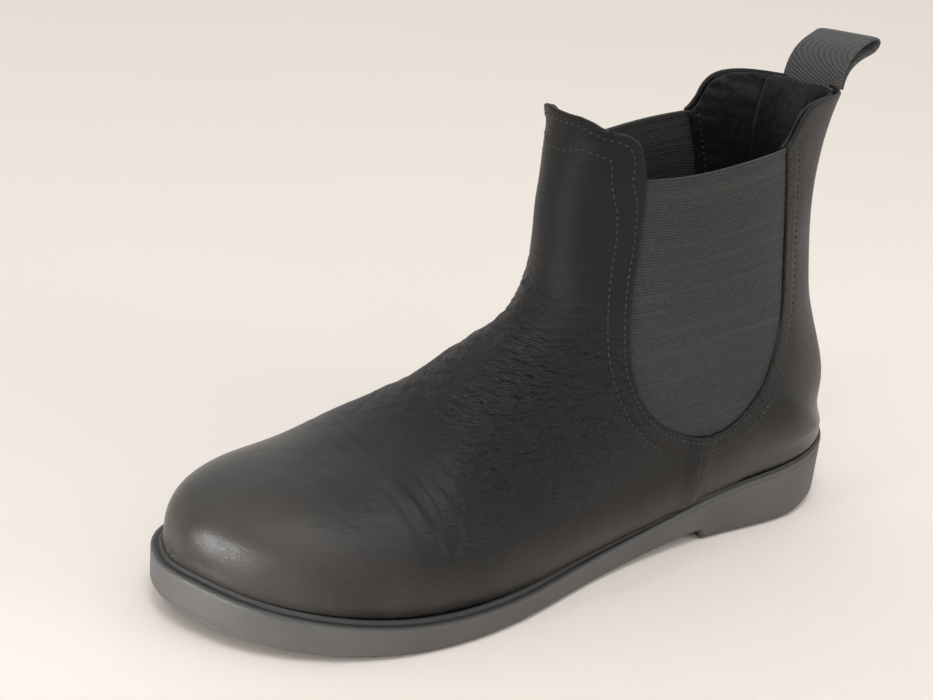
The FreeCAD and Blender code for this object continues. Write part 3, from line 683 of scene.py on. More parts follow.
def elastic_material(name):
    mat, tree, shader = material(name)
    speck = texture(tree, place_in(tree), "Noise", Scale=900.0, Detail=3.0, Roughness=0.7)
    colour = ramp_of(tree, speck.outputs["Fac"], grey(.015, .04), grey(.042, .04))
    # painted shade: the grooves between the ribs are painted near black
    crown = ramp_of(tree, layer_of(tree, "rib"), grey(.3), grey(1), .15, .85)
    shaded = blended(tree, crown, grey(.006), colour)
    tree.links.new(shaded, shader.inputs["Base Color"])
    shader.inputs["Roughness"].default_value = 0.85
    shader.inputs["Sheen Weight"].default_value = 0.15
    shader.inputs["Sheen Roughness"].default_value = 0.5
    bumped(tree, shader, [(speck.outputs["Fac"], 0.5, 0.0003)])
    return mat


def webbing_material(name):
    mat, tree, shader = material(name)
    weave = texture(tree, place_in(tree), "Wave", bands_direction="DIAGONAL", Scale=620.0, Distortion=1.5,
                    Detail=2.0, Detail_Scale=3.0)
    colour = ramp_of(tree, weave.outputs["Fac"], grey(.048), grey(.076))
    tree.links.new(colour, shader.inputs["Base Color"])
    shader.inputs["Roughness"].default_value = 0.8
    shader.inputs["Sheen Weight"].default_value = 0.2
    bumped(tree, shader, [(weave.outputs["Fac"], 0.6, 0.0004)])
    return mat


def rubber_material(name):
    mat, tree, shader = material(name)
    vector = place_in(tree)
    speck = texture(tree, vector, "Noise", Scale=700.0, Detail=4.0, Roughness=0.7)
    cloud = texture(tree, vector, "Noise", Scale=35.0, Detail=4.0)
    colour = ramp_of(tree, cloud.outputs["Fac"], grey(.072, .03), grey(.10, .03))
    # painted shade: the ledge rings round the top of the sole are painted darker
    colour = blended(tree, layer_of(tree, "ledge"), colour, grey(.028, .03))
    # painted reflection: the bevel under the toe is painted lighter, as if it caught the pale floor
    colour = blended(tree, layer_of(tree, "bevel"), colour, grey(.20, .03))
    tree.links.new(colour, shader.inputs["Base Color"])
    tree.links.new(ramp_of(tree, cloud.outputs["Fac"], grey(.5), grey(.66)), shader.inputs["Roughness"])
    bumped(tree, shader, [(speck.outputs["Fac"], 0.6, 0.0003)])
    return mat


def plain_material(name, low, high, roughness, scale=300.0, metallic=0.0):
    mat, tree, shader = material(name)
    speck = texture(tree, place_in(tree), "Noise", Scale=scale, Detail=4.0)
    tree.links.new(ramp_of(tree, speck.outputs["Fac"], low, high), shader.inputs["Base Color"])
    shader.inputs["Roughness"].default_value = roughness
    shader.inputs["Metallic"].default_value = metallic
    bumped(tree, shader, [(speck.outputs["Fac"], 0.3, 0.0003)])
    return mat


LOOKS = {
    # the leather's paler colour is partly wear and partly painted sheen
    "leather": leather_material("leather", (.0045, .0042, .0040, 1), (.0085, .0078, .0074, 1), .37, .5,
                                wrinkles=1.0, wear_and_sheen=(.046, .043, .0395, 1)),
    "lining": leather_material("lining", (.008, .008, .008, 1), (.014, .0135, .013, 1), .34, .46, .3, .3),
    "sock": leather_material("sock", (.010, .0095, .0095, 1), (.018, .017, .017, 1), .45, .6),
    "elastic": elastic_material("elastic"),
    "webbing": webbing_material("webbing"),
    "sole_rubber": rubber_material("sole_rubber"),
    "interlining": plain_material("interlining", grey(.03), grey(.05), .9, 900),
    "stiffener": plain_material("stiffener", grey(.028, .1), grey(.042, .1), .7),
    "board": plain_material("board", (.28, .18, .10, 1), (.38, .26, .16, 1), .85),
    "core": plain_material("core", grey(.22), grey(.28), .6),
    "cork": plain_material("cork", (.25, .14, .07, 1), (.48, .30, .17, 1), .9, 420),
    "steel": plain_material("steel", grey(.5), grey(.6), .35, 200, 1.0),
    "thread": plain_material("thread", grey(.028), grey(.05), .6, 2500),
}


def finish_piece(obj, look, *replaced):
    """Hides the CAD nodes that a piece stands for; the finish that it is given is not used."""
    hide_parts(*replaced)


# ------------------------------------------------------------------ leather surface with its creases
SMOOTHINGS = 160
MOST_SUNK = 0.5
HEEL_SWELL = 1.9
HEEL_AHEAD = 62


def eased(grid):
    """Skin with the hollows over the lower heel filled, so that it runs round in one soft curve."""
    x, z = grid[..., 0], grid[..., 2]
    share = (smoothstep((HEEL_AHEAD - x) / 25) * smoothstep((105 - z) / 25))[..., None] * .5
    share[:, :1] = share[:, -1:] = 0
    first = grid
    normals = grid_normals(grid)
    for _ in range(SMOOTHINGS):
        near = np.zeros_like(grid)
        near[1:-1, 1:-1] = (grid[2:, 1:-1] + grid[:-2, 1:-1] + grid[1:-1, 2:] + grid[1:-1, :-2]) / 4 \
            - grid[1:-1, 1:-1]
        grid = grid + near * share
        sunk = ((grid - first) * normals).sum(axis=-1, keepdims=True)
        grid = grid + normals * np.maximum(-MOST_SUNK - sunk, 0)
    outward = unit(grid * (1, 1, 0) - (HEEL_AHEAD, 0, 0))
    swell = smoothstep((HEEL_AHEAD - x) / 30) * smoothstep((z - 29) / 8) * (1 - smoothstep((z - 48) / 40))
    return grid + outward * (HEEL_SWELL * swell)[..., None]


outer_skin = eased(skin_grid(0))
skin_normal = grid_normals(outer_skin)
side_view = outer_skin[..., [0, 2]]
view_x = side_view[..., 0]
view_z = side_view[..., 1]
in_boot = signed_distance(side_view, BOOT_OUTLINE)
in_front = signed_distance(side_view, FRONT_OUTLINE)
in_rear = signed_distance(side_view, REAR_OUTLINE)
COLS = outer_skin.shape[1]
column = np.arange(COLS)[None, :] * np.ones((len(stations), 1))
girth_angle = (column - (SIDE_COLS - 1)) * ANGLE_STEP
station_of = stations[:, None] * np.ones((1, COLS))
on_lateral = girth_angle <= 0


def fold_noise(points, scale, seed, octaves=3):
    """Fractal noise about zero, at points scaled per axis."""
    flat = (points * np.array(scale) + seed).reshape(-1, 3)
    values = [noise.fractal(Vector(p), 0.6, 2.1, octaves) for p in flat]
    return np.array(values).reshape(points.shape[:-1])


def creased(folds, sharpness):
    """Narrow valleys along the zero lines of a noise, 1 at the bottom and 0 between them."""
    return np.clip(1 - sharpness * np.abs(folds), 0, 1)


girth = np.stack([girth_angle, station_of, np.zeros_like(station_of)], axis=-1)
ankle_folds = fold_noise(girth, (.022, 3.4, 1), 3.1)
fine_folds = fold_noise(girth, (.05, 8.5, 1), 11.7, 2)
pebbles = fold_noise(outer_skin, (.10, .10, .34), 31.0, 2)
broad = fold_noise(outer_skin, (.016, .016, .016), 5.3, 2)
toe_creases = fold_noise(outer_skin, (.13, .03, .05), 23.0, 3)
AT_INSTEP = bump(station_of - 8.9, 1.7) * bump(girth_angle, 62)
AT_BALL = bump(station_of - 5.6, 1.5) * bump(girth_angle, 75)
AT_SHAFT = smoothstep((station_of - 11) / 2) * bump(girth_angle, 80)
WRINKLED = (smoothstep((station_of - 5.4) / 1.8) * (1 - .9 * smoothstep((station_of - 9.2) / 1.8))
            * (1 - smoothstep((np.abs(girth_angle) - 62) / 45)))
FINE_AHEAD = bump(station_of - 4.7, 1.4) * bump(girth_angle + 62, 45)
# flexing creases over the ball, seen from the side, and how far each one fades out around it
FLEX_CREASES = [[(219, 56), (213.5, 52.5), (210.5, 46), (208, 35)],
                [(214, 58.5), (208.5, 53), (206.5, 46), (205.5, 36)],
                [(206, 55), (201, 48.5), (200, 42), (203, 34.5)],
                [(223.5, 53), (218.5, 49), (216, 43.5), (212, 36)]]
CREASE_DEPTHS = [1.0, .8, .5, .4]
flex_creases = np.zeros_like(station_of)
for crease, depth in zip(FLEX_CREASES, CREASE_DEPTHS):
    gap = line_distance(side_view, smooth_line(crease, 2.0))
    flex_creases += depth * (bump(gap, 1.4) - .4 * bump(gap - 2.9, 1.6))
# depths of the folds, mm
ANKLE_FOLD = 0.55
FINE_FOLD = 0.28
BALL_FOLD = 0.3
SHAFT_FOLD = 0.07
PEBBLE_FOLD = 0.22
PUCKER = 0.45
UNEVEN = 0.35
crease_depth = (-AT_INSTEP * (ANKLE_FOLD * creased(ankle_folds, 4.5) ** 1.5
                              + FINE_FOLD * creased(fine_folds, 4))
                - AT_BALL * BALL_FOLD * creased(toe_creases, 5) ** 1.5
                - AT_SHAFT * SHAFT_FOLD * creased(fine_folds, 4)
                - WRINKLED * (PEBBLE_FOLD * creased(pebbles, 3.2) + PUCKER * pebbles)
                - flex_creases * bump(girth_angle + 50, 55)
                + UNEVEN * broad)
# edges of the pattern pieces sink a little beside their stitch rows
NEAR_ROW = 1.7
SEAM_LAP = 0.8
TOP_ROLL = 0.9
FLARE = 0.6
FAR_ROW = 7.6
from_front_edge = line_distance(side_view, smooth_line(GORE_FRONT, 2.5))
from_rear_edge = line_distance(side_view, smooth_line(GORE_REAR, 2.5))
edge_gap = np.where(in_front > 0, from_front_edge, from_rear_edge)
stitch_sink = (-.2 * bump(edge_gap - NEAR_ROW, .9) - .22 * bump(edge_gap - FAR_ROW, 1.2)
               + .25 * bump(edge_gap, .9) + .15 * bump(edge_gap - 5, 1.6))
low_seam = smoothstep((52 - view_z) / 5)
seam_lap = SEAM_LAP * low_seam * smoothstep((SEAM_X + 13 - view_x) / 6) * (in_front > 0)
# the top edge at the front rolls outwards
top_roll = (TOP_ROLL * smoothstep((6.5 - in_boot) / 6.5) ** 2 * smoothstep((view_z - 148) / 6)
            * bump(girth_angle, 70) * (in_front > 0))
above_feather = view_z - feather_height(view_x)
bottom_flare = FLARE * (1 - smoothstep((above_feather + 1) / 6)) * (1 - smoothstep((110 - view_x) / 50))
relief = crease_depth + stitch_sink + seam_lap + top_roll + bottom_flare
leather_out = outer_skin + skin_normal * relief[..., None]
leather_in = outer_skin + skin_normal * (np.minimum(relief, 0) * .5 + top_roll - LEATHER)[..., None]
# leather that wear has polished and that is painted paler, partly for wear and partly as a painted sheen in
# place of highlights: the toe, the ball and a band over the sole's edge
TOE_WEAR_AND_SHEEN = 0.9
EDGE_WEAR_AND_SHEEN = 0.55
HEEL_SHEEN = 0.75
wear_and_sheen = TOE_WEAR_AND_SHEEN * (1 - smoothstep((station_of - 3.6) / 3.2))
wear_and_sheen += EDGE_WEAR_AND_SHEEN * (1 - smoothstep((above_feather - 6) / 16)) * smoothstep((station_of - 3) / 4)
# painted sheen: a paler band just above the sole round the heel
wear_and_sheen += HEEL_SHEEN * (1 - smoothstep((above_feather - 9) / 20)) * smoothstep((90 - view_x) / 40)


def upper_panel(name, replaced, region, body):
    """Leather piece cut out of the skin where the region value is positive."""
    pairs, faces = clip_grid(region)
    outer = mixed(leather_out, pairs)
    inner = mixed(leather_in, pairs)
    panel = thick_sheet(name, outer, inner, faces, "leather", body, .75, 6)
    add_layer(panel, "wrinkled", mixed(np.maximum(WRINKLED, .4 * FINE_AHEAD), pairs)[:, 0])
    # wear and painted sheen, which pale the leather's colour
    add_layer(panel, "wear_and_sheen", mixed(np.minimum(wear_and_sheen, 1), pairs)[:, 0])
    finish_piece(panel, "leather", replaced)


def add_layer(obj, name, values):
    """Vertex layer that a material reads; vertices past the given ones get zero."""
    full = np.zeros(len(obj.data.vertices))
    full[:len(values)] = values
    layer = obj.data.attributes.new(name, "FLOAT", "POINT")
    layer.data.foreach_set("value", full)


# ------------------------------------------------------------------ leather upper
SEAM_GAP = 0.1
HALVES = (("lateral", LATERAL, on_lateral), ("medial", MEDIAL, ~on_lateral))
upper_panel("vamp_leather", "vamp", np.minimum(in_front - SEAM_GAP, in_boot), "foot_part")
for side_name, side, mask in HALVES:
    region = np.where(mask, np.minimum(in_rear - SEAM_GAP, in_boot), -1)
    upper_panel("quarter_leather_" + side_name, "quarter_" + side_name, region, FLEXING)

# ------------------------------------------------------------------ lining and interlining
MIDDLE_IN = LEATHER + MIDDLE
LINING_IN = MIDDLE_IN + LINING


def inner_panel(name, replaced, region_of, insets, look, body, folds=None):
    """Inner layer between two insets of the last; its region is worked out in side view."""
    outer, inner = (skin_grid(inset) for inset in insets)
    if folds is not None:
        inner = inner - grid_normals(inner) * folds[..., None]
    pairs, faces = clip_grid(region_of(outer[..., [0, 2]]))
    outer = mixed(outer, pairs)
    inner = mixed(inner, pairs)
    panel = thick_sheet(name, outer, inner, faces, look, body, .2)
    finish_piece(panel, look, replaced)


def region_in(outline, gap, top_gap, mask=None):
    def region(view):
        value = np.minimum(signed_distance(view, outline) - gap,
                           signed_distance(view, BOOT_OUTLINE) - top_gap)
        return value if mask is None else np.where(mask, value, -1)
    return region


TUCKED = 2.5
HEM = .3
MIDDLE_LAYER = (LEATHER + .05, MIDDLE_IN - .05)
LINING_LAYER = (MIDDLE_IN, LINING_IN)
lining_folds = .45 * smoothstep((station_of - 13) / 3) * fold_noise(girth, (.03, 2.2, 1), 41.0, 3)
inner_panel("vamp_lining_leather", "vamp_lining", region_in(FRONT_OUTLINE, SEAM_GAP, HEM), LINING_LAYER,
            "lining", "foot_part")
inner_panel("vamp_interlining_cloth", "vamp_interlining",
            region_in(FRONT_OUTLINE, GORE_MARGIN + .4, TUCKED), MIDDLE_LAYER, "interlining", "foot_part")
for side_name, side, mask in HALVES:
    inner_panel("quarter_lining_leather_" + side_name, "quarter_lining_" + side_name,
                region_in(REAR_OUTLINE, SEAM_GAP, HEM, mask), LINING_LAYER, "lining", FLEXING, lining_folds)
STRIP_ANGLE = 32.0
COUNTER_Z = 80.0


def strip_region(view):
    near_back = STRIP_ANGLE - np.minimum(column, COLS - 1 - column) * ANGLE_STEP
    value = np.minimum(near_back * .5, view[..., 1] - 40)
    return np.minimum(value, signed_distance(view, BOOT_OUTLINE) - HEM - .2)


def above_counter(view):
    value = region_in(REAR_OUTLINE, GORE_MARGIN + .4, TUCKED)(view)
    near_back = np.minimum(column, COLS - 1 - column) * ANGLE_STEP - STRIP_ANGLE
    return np.minimum(np.minimum(value, view[..., 1] - COUNTER_Z - .5), near_back * .5)


# ------------------------------------------------------------------ elastic gores
RIB_PITCH = 1.05
RIB_DEPTH = 0.3
RIB_SAMPLES = 4
GORE_COLS = 46
gore_front = shifted(GORE_FRONT[:-1], GORE_MARGIN)
gore_rear = shifted(GORE_REAR[1:], GORE_MARGIN)
gore_run = np.concatenate([gore_front, [(SEAM_X, GORE_FRONT[-1][1] - GORE_MARGIN)], gore_rear])
GORE_OUTLINE = polygon(gore_run, (gore_run[-1], gore_run[0]))
gore_top = smooth_line(GORE_TOP)[::-1]


def gore_rows():
    """Side-view rows of the elastic, each parallel to its top edge, and their depths below it."""
    rows = []
    depths = []
    x = np.arange(30, 140, .5)
    for depth in np.arange(0, 130, RIB_PITCH / RIB_SAMPLES):
        z = np.interp(x, gore_top[:, 0], gore_top[:, 1]) - depth
        held = signed_distance(np.stack([x, z], axis=1), GORE_OUTLINE[::2]) > 0
        if held.sum() < 8:
            break
        span = np.linspace(x[held][0], x[held][-1], GORE_COLS)
        rows.append(np.stack([span, np.interp(span, x, z)], axis=1))
        depths.append(depth)
    return np.array(rows), np.array(depths)


def add_gore(side_name, side):
    rows, depths = gore_rows()
    surface = surface_points(rows[..., 0], rows[..., 1], side, LEATHER)
    normal = grid_normals(surface)
    if (normal[..., 1].mean() > 0) != (side > 0):
        normal = -normal
    across = np.linspace(-1, 1, GORE_COLS)[None, :]
    ribs = RIB_DEPTH * (np.abs(np.cos(math.pi * depths / RIB_PITCH))[:, None] - 1)
    ribs = ribs * (1 + .2 * rng.standard_normal(ribs.shape))
    hollow = -.4 * (1 - across ** 2) * smoothstep(depths / 25)[:, None] * smoothstep(
        (depths[-1] - depths) / 30)[:, None]
    hem = .18 * bump(depths - .8, .8)[:, None]
    opening = -np.maximum(signed_distance(rows, FRONT_OUTLINE), signed_distance(rows, REAR_OUTLINE))
    raised = ribs + hollow + .9 * smoothstep((opening + 1.6) / 1.4)
    outer = surface + normal * (raised + hem)[..., None]
    inner = surface - normal * (MIDDLE - .1 - raised + hem)[..., None]
    outer, inner = outer.reshape(-1, 3), inner.reshape(-1, 3)
    faces = grid_faces(len(rows), GORE_COLS)
    obj = thick_sheet("gore_elastic_" + side_name, outer, inner, faces, "elastic", FLEXING, .15)
    # how far up its rib each row stands, which sets the painted shade in the grooves
    crown = np.clip(1 + ribs / RIB_DEPTH, 0, 1) * np.ones((1, GORE_COLS))
    add_layer(obj, "rib", np.tile(crown.ravel(), 2))
    finish_piece(obj, "elastic", "gore_" + side_name)


for side_name, side, mask in HALVES:
    add_gore(side_name, side)

inner_panel("quarter_interlining_cloth", "quarter_interlining", above_counter, MIDDLE_LAYER,
            "interlining", FLEXING)
inner_panel("back_strip_leather", "back_strip", strip_region, (LINING_IN + .02, LINING_IN + STRIP),
            "lining", FLEXING)


# ------------------------------------------------------------------ stitching
def contours(level, allowed):
    """Lines where a grid value passes through zero, as lists of (grid index, grid index, mix)."""
    flat = level.ravel()
    fine = allowed.ravel()
    links = {}
    spots = {}
    for corners in cells(level.shape):
        signs = [flat[k] > 0 for k in corners]
        if all(signs) or not any(signs) or not all(fine[k] for k in corners):
            continue
        crossed = []
        for a, b in zip(corners, corners[1:] + corners[:1]):
            if (flat[a] > 0) != (flat[b] > 0):
                key = (min(a, b), max(a, b))
                spots[key] = flat[key[0]] / (flat[key[0]] - flat[key[1]])
                crossed.append(key)
        for one, two in zip(crossed[::2], crossed[1::2]):
            links.setdefault(one, []).append(two)
            links.setdefault(two, []).append(one)
    lines = []
    while links:
        ends = [k for k, near in links.items() if len(near) == 1]
        here = ends[0] if ends else next(iter(links))
        line = [here]
        while links.get(here):
            there = links[here].pop()
            links[there].remove(here)
            line.append(there)
            here = there
        links = {k: near for k, near in links.items() if near}
        lines.append([(a, b, spots[(a, b)]) for a, b in line])
    return lines


def stitch_shape(sides=6, rings=7):
    """One stitch along X, unit length and unit thickness: a bar with rounded, sunken ends."""
    points = []
    for k in range(rings):
        t = -1 + 2 * k / (rings - 1)
        radius = .5 * math.sqrt(max(1 - abs(t) ** 3, .02))
        for j in range(sides):
            turn = 2 * math.pi * j / sides
            points.append((t / 2, radius * math.cos(turn), radius * math.sin(turn)
                           - .35 * abs(t) ** 3))
    faces = grid_faces(rings, sides, wrap=True)
    faces += [list(range(sides)), [len(points) - 1 - j for j in range(sides)]]
    return np.array(points), faces


STITCH_POINTS, STITCH_FACES = stitch_shape()


def stitch_line(points, normals):
    """Stitches along one line of points on a surface."""
    gone = np.r_[0, np.cumsum(np.linalg.norm(np.diff(points, axis=0), axis=1))]
    made = []
    for start in np.arange(.6, gone[-1] - STITCH_LONG, STITCH_PITCH):
        ends = [np.array([np.interp(start + d, gone, points[:, k]) for k in range(3)])
                for d in (0, STITCH_LONG)]
        up = np.array([np.interp(start + STITCH_LONG / 2, gone, normals[:, k]) for k in range(3)])
        run = unit(ends[1] - ends[0])
        up = unit(up - run * (up @ run))
        side = np.cross(up, run)
        bar = STITCH_POINTS * (STITCH_LONG, THREAD, THREAD)
        middle = (ends[0] + ends[1]) / 2 + up * STITCH_LIFT
        made.append(middle + bar @ np.array([run, side, up]))
    return made


def add_stitching(name, replaced, body, rows, surface, normals):
    """All the stitches of one seam; rows are (grid value that is zero on the row, where allowed)."""
    bars = []
    for level, allowed in rows:
        for line in contours(level, allowed):
            if len(line) > 8:
                bars += stitch_line(mixed(surface, line), mixed(normals, line))
    points = np.concatenate(bars)
    size = len(STITCH_POINTS)
    faces = [[v + k * size for v in face] for k in range(len(bars)) for face in STITCH_FACES]
    finish_piece(make_mesh(name, points, faces, LOOKS["thread"], body), "thread", replaced)


above_knee = (view_z > 44) | (view_x > SEAM_X + 3)
on_vamp = (in_front > -.9) & (in_boot > .4) & above_knee
on_quarter = (in_rear > -.9) & (in_boot > .6)
SEAM_ROWS = (2.6, 6.2)
TOP_ROW_DROP = 8.2
HEM_ROW_DROP = 2.2
ROUNDING = .35


def rounded_min(a, b):
    """Smaller of two grid values, with the corner between them rounded."""
    return -np.logaddexp(-ROUNDING * a, -ROUNDING * b) / ROUNDING


far_level = rounded_min(from_front_edge - FAR_ROW, in_boot - TOP_ROW_DROP)
near_level = rounded_min(from_front_edge - NEAR_ROW, in_boot - HEM_ROW_DROP)
vamp_rows = [(far_level, on_vamp & (view_z > 46)), (near_level, on_vamp & (view_z > 43))]
quarter_rows = [(from_rear_edge - FAR_ROW, on_quarter & (view_z < 158)),
                (from_rear_edge - NEAR_ROW, on_quarter & (view_z < 153))]
low = (view_z < 45) & (view_z > feather_height(view_x) + 1.5)
seam_rows = [(view_x - SEAM_X - ahead, (in_front > 1) & low) for ahead in SEAM_ROWS]
add_stitching("vamp_thread", "vamp_stitching", "foot_part", vamp_rows, leather_out, skin_normal)
add_stitching("quarter_thread", "quarter_stitching", FLEXING, quarter_rows, leather_out, skin_normal)
add_stitching("seam_thread", "seam_stitching", "foot_part", seam_rows, leather_out, skin_normal)
lining_skin = skin_grid(LINING_IN)
lining_view = lining_skin[..., [0, 2]]
lining_level = line_distance(lining_view, smooth_line(GORE_REAR, 2.5)) - 3
lining_allowed = (signed_distance(lining_view, REAR_OUTLINE) > 1) & (
    signed_distance(lining_view, BOOT_OUTLINE) > 2) & (lining_view[..., 1] > 50)
lining_normal = -grid_normals(lining_skin)
add_stitching("lining_thread", "lining_stitching", FLEXING, [(lining_level, lining_allowed)],
              lining_skin + lining_normal * STITCH_LIFT, lining_normal)

# ------------------------------------------------------------------ rubber unit sole
WAIST_END = 143.0
BALL_END = 205.0
underside = spline([(BREAST_X + BREAST_SLOPE, BREAST_STEP), (98, 2.8), (120, .9), (WAIST_END, 0),
                    (BALL_END, 0), (228, .5), (252, 2.1), (272, 4.4), (TOE_X, 6.4)])


def bottom_height(x):
    """Height of the sole's underside: flat heel, sloped breast, arched waist, flat ball, toe spring."""
    arch = np.where((x > WAIST_END) & (x < BALL_END), 0, underside(x))
    breast = BREAST_STEP * smoothstep((x - BREAST_X) / BREAST_SLOPE)
    return np.where(x < BREAST_X + BREAST_SLOPE, breast, arch)


def wall_foot(x):
    """Height where the side wall ends and turns under; a bevel cuts it away under the toe."""
    bevel = 9.0 * np.clip((x / TOE_X - .72) / .28, 0, None) ** 2
    return np.maximum(bottom_height(x) + 1.3, bevel)


def sole_loop():
    """Outline of the sole: heel, lateral side, toe, medial side, with each point's share."""
    shares = np.linspace(0, 1, 131)
    breast = np.arccos(1 - 2 * (np.arange(72, 82, .4) - HEEL_X) / SOLE_LENGTH) / math.pi
    shares = np.unique(np.r_[shares, breast])
    back = shares[-2:0:-1]
    share = np.r_[shares, back]
    y = np.r_[EDGE[LATERAL](shares), EDGE[MEDIAL](back)]
    return np.stack([along(share), y], axis=1), share, len(shares)


def add_sole():
    loop, share, half_count = sole_loop()
    turn = unit(np.roll(loop, -1, axis=0) - np.roll(loop, 1, axis=0))
    inward = np.stack([-turn[:, 1], turn[:, 0]], axis=1)
    inward *= np.sign(((loop.mean(axis=0) - loop) * inward).sum(axis=1).mean())
    x = loop[:, 0]
    feather = feather_height(x)
    ledge = ledge_width(share)
    foot = wall_foot(x)
    bottom = bottom_height(x)
    toe = smoothstep((x - 215) / 40)
    heel = smoothstep((30 - x) / 24)
    foot = foot + 3.6 * heel
    top = feather - 2.1
    profile = [
        (ledge + 3, feather - 3), (ledge + .7, feather - 2.0), (ledge + .25, feather - 1.5),
        (ledge, feather - .8), (ledge * .88, feather - .5), (ledge * .74, feather - .7),
        (ledge * .66, feather - 1.45), (ledge * .56, feather - 1.85), (ledge * .46, feather - 1.6),
        (ledge * .25 + .3, feather - 1.7),
        (.45 + 0 * x, feather - 2.05), (.14 + 0 * x, top - .55), (0 * x, top - 1.1)]
    grooved = smoothstep((120 - x) / 40)
    profile += [(.06 * grooved, top - 1.35), (.45 * grooved, top - 1.6), (.5 * grooved, top - 1.85),
                (.1 * grooved, top - 2.15)]
    for k in range(1, 7):
        share_down = k / 7
        profile.append((0 * x, (top - 2.2) * (1 - share_down) + (foot + .8) * share_down))
    ledge_rings = 10
    wall_end = len(profile)
    profile += [(.06 + 0 * x, foot + .45), (.3 + .1 * toe, foot + .1), (.75 + .2 * toe, foot - .25)]
    profile += [(1.1 + .7 * toe + 1.1 * heel, foot - (foot - bottom) * .62),
                (1.7 + 1.4 * toe + 2.3 * heel, bottom + .1 + .25 * heel),
                (2.4 + 2.0 * toe + 3.6 * heel, bottom)]
    rings = [np.column_stack([loop + inward * np.array(d)[:, None], z]) for d, z in profile]
    points = list(np.concatenate(rings))
    count = len(loop)
    faces = grid_faces(len(rings), count, wrap=True)

    def cap(ring, across, height_of, flip):
        """Closes a ring with rows of faces from its lateral to its medial half."""
        start = ring * count
        rows = []
        for i in range(half_count):
            left = start + i
            right = start + (count - i) % count
            if left == right:
                rows.append([left])
                continue
            a, b = np.array(points[left]), np.array(points[right])
            row = [left]
            for k in range(1, across):
                spot = a + (b - a) * k / across
                spot[2] = height_of(spot)
                row.append(len(points))
                points.append(spot)
            rows.append(row + [right])
        for one, two in zip(rows, rows[1:]):
            for k in range(max(len(one), len(two)) - 1):
                quad = [one[min(k, len(one) - 1)], one[min(k + 1, len(one) - 1)],
                        two[min(k + 1, len(two) - 1)], two[min(k, len(two) - 1)]]
                face = list(dict.fromkeys(quad))
                faces.append(face[::-1] if flip else face)

    cap(len(rings) - 1, 40, lambda spot: float(bottom_height(spot[0])), False)
    cap(0, 24, lambda spot: spot[2], True)
    sole = make_mesh("unit_sole", np.array(points), faces, LOOKS["sole_rubber"], "foot_part")
    ring = np.arange(len(rings))[:, None] * np.ones(count)
    # painted shade: marks the ledge rings, which the material paints darker
    add_layer(sole, "ledge", smoothstep((ledge_rings + 1 - ring) / 2).ravel())
    # painted reflection: marks the bevel under the toe, which the material paints lighter
    add_layer(sole, "bevel", (smoothstep((ring - wall_end) / 2) * smoothstep((x - 236) / 34)).ravel())
    finish_piece(sole, "sole_rubber", "outsole")


add_sole()

# ------------------------------------------------------------------ pull tab
WEB_HALF = 11.25
WEB_THICK = 1.2
WEB_RISE = 15.8
WEB_LEAN = 16.8
WEB_TURN = math.radians(27)
FOLD_AT = np.array([17.0, -7.2, 170.4])
# the loop's middle line, as shares of how far it leans back and how high it rises
LOOP = [(.07, -.2), (.04, 0), (-.11, .46), (-.37, .76), (-.65, .93), (-.89, 1), (-1, .92), (-.96, .76),
        (-.69, .59), (-.40, .46), (-.17, .26), (-.055, 0), (-.03, -.2)]


def add_tab():
    path = smooth_line([(x * WEB_LEAN, z * WEB_RISE) for x, z in LOOP], .5)
    width = np.linspace(-1, 1, 37)
    turn = unit(np.gradient(path, axis=0))
    across = np.array([-math.sin(WEB_TURN), math.cos(WEB_TURN), 0]) * WEB_HALF
    along_path = np.linspace(0, 1, len(path))[:, None]
    rows = []
    for sign in (1, -1):
        offset = np.stack([-turn[:, 1], turn[:, 0]], axis=1) * sign * WEB_THICK / 2
        edge = 1 - .35 * np.abs(width[None, :]) ** 16
        wave = .22 * np.sin(9 * along_path + 2.2 * width[None, :]) * width[None, :] ** 2
        grid = path[:, None, :] + offset[:, None, :] * edge[..., None]
        grid = grid + (offset / WEB_THICK * 2 * sign)[:, None, :] * wave[..., None]
        side_on = np.stack([grid[..., 0], 0 * grid[..., 0], grid[..., 1]], axis=-1)
        rows.append((side_on + width[None, :, None] * across + FOLD_AT).reshape(-1, 3))
    outer, inner = rows
    faces = grid_faces(len(path), len(width))
    obj = thick_sheet("pull_tab_webbing", outer, inner, faces, "webbing", "pull_loop", .2)
    finish_piece(obj, "webbing", "pull_tab")


add_tab()

# ------------------------------------------------------------------ CAD nodes that stay
KEPT_LOOKS = {"sock_lining": "sock", "insole_board": "board", "toe_puff": "stiffener",
              "heel_counter": "stiffener", "heel_core": "core", "forefoot_filler": "cork",
              "shank": "steel", "pull_tab_ends": "webbing"}
for kept, look in KEPT_LOOKS.items():
    kept_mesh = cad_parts[kept].data
    kept_mesh.materials.clear()
    kept_mesh.materials.append(LOOKS[look])

# ------------------------------------------------------------------ camera, light, floor
CAMERA_AT = np.array([476.4, 419.2, 295.9])
CAMERA_TARGET = np.array([181.6, 10.5, 88.2])
CAMERA_ROLL = 5.6
PHOTO_LENS = 61.7


SKY = (1, .985, .965, 1)
SKY_STRENGTH = 0.80
FLOOR_REACH = 6.0
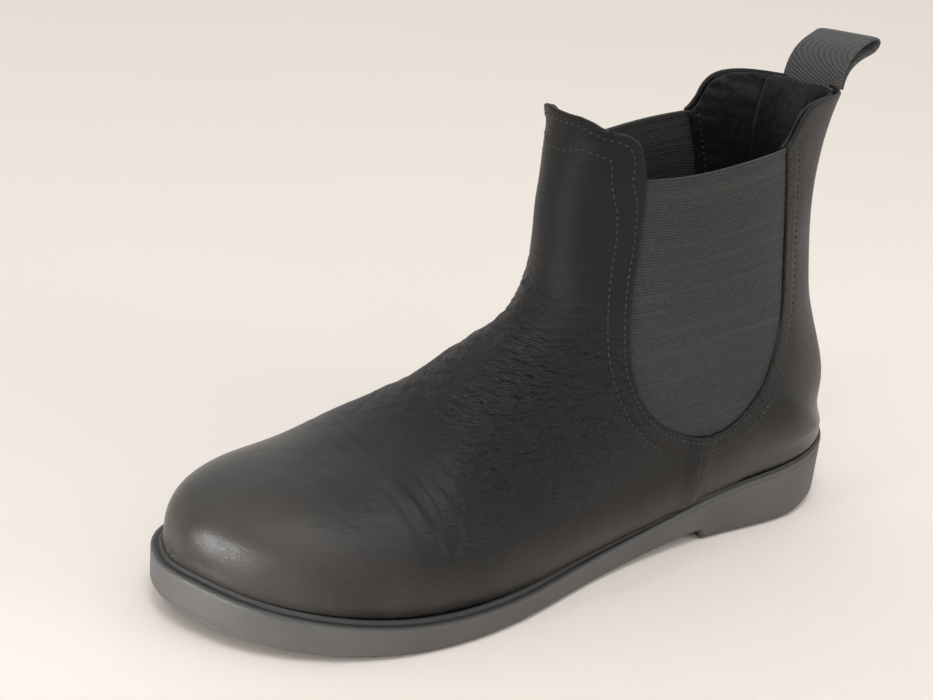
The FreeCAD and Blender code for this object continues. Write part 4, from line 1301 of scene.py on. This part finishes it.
# each lamp: place, what it faces and size in metres, power in watts, spread in degrees
LAMPS = {"key": ((.30, .36, 1.13), (.06, .02, .05), (.36, .36), 3.2, 180),
         "side": ((-.8, 1.0, .6), (-.08, 0, .06), (.45, .45), 2.2, 180),
         "toe": ((1.3, .12, .10), (.13, .01, .032), (.16, .12), .10, 12)}


def add_camera():
    data = bpy.data.cameras.new("camera")
    data.lens = PHOTO_LENS
    data.sensor_width = 36.0
    data.clip_end = 20.0
    camera = bpy.data.objects.new("camera", data)
    bpy.context.collection.objects.link(camera)
    back = Vector(CAMERA_AT - CAMERA_TARGET).normalized()
    right = Vector((0, 0, 1)).cross(back).normalized()
    up = back.cross(right)
    roll = math.radians(CAMERA_ROLL)
    right_turned = right * math.cos(roll) + up * math.sin(roll)
    up_turned = up * math.cos(roll) - right * math.sin(roll)
    turn = Matrix((right_turned, up_turned, back)).transposed()
    camera.matrix_world = Matrix.Translation(Vector(placed(CAMERA_AT))) @ turn.to_4x4()
    bpy.context.scene.camera = camera


def add_area(name, place, target, size, power, spread):
    data = bpy.data.lights.new(name, "AREA")
    data.shape = "RECTANGLE"
    data.size, data.size_y = size
    data.energy = power
    data.spread = math.radians(spread)
    light = bpy.data.objects.new(name, data)
    bpy.context.collection.objects.link(light)
    light.location = place
    light.rotation_euler = (Vector(target) - Vector(place)).to_track_quat("-Z", "Y").to_euler()


def add_stage():
    """Plain pale floor, soft light all round and the lamps."""
    world = bpy.data.worlds.new("studio")
    world.use_nodes = True
    backdrop = world.node_tree.nodes["Background"]
    backdrop.inputs["Color"].default_value = SKY
    backdrop.inputs["Strength"].default_value = SKY_STRENGTH
    bpy.context.scene.world = world
    mesh = bpy.data.meshes.new("floor")
    corners = [(x * FLOOR_REACH, y * FLOOR_REACH, 0) for x, y in ((-1, -1), (1, -1), (1, 1), (-1, 1))]
    mesh.from_pydata(corners, [], [(0, 1, 2, 3)])
    floor = bpy.data.objects.new("floor", mesh)
    bpy.context.collection.objects.link(floor)
    mesh.materials.append(plain_material("floor", (.915, .85, .79, 1), (.925, .86, .80, 1), .9, 3))
    for name, values in LAMPS.items():
        add_area(name, *values)


bpy.context.scene.view_settings.view_transform = "Standard"
add_camera()
add_stage()
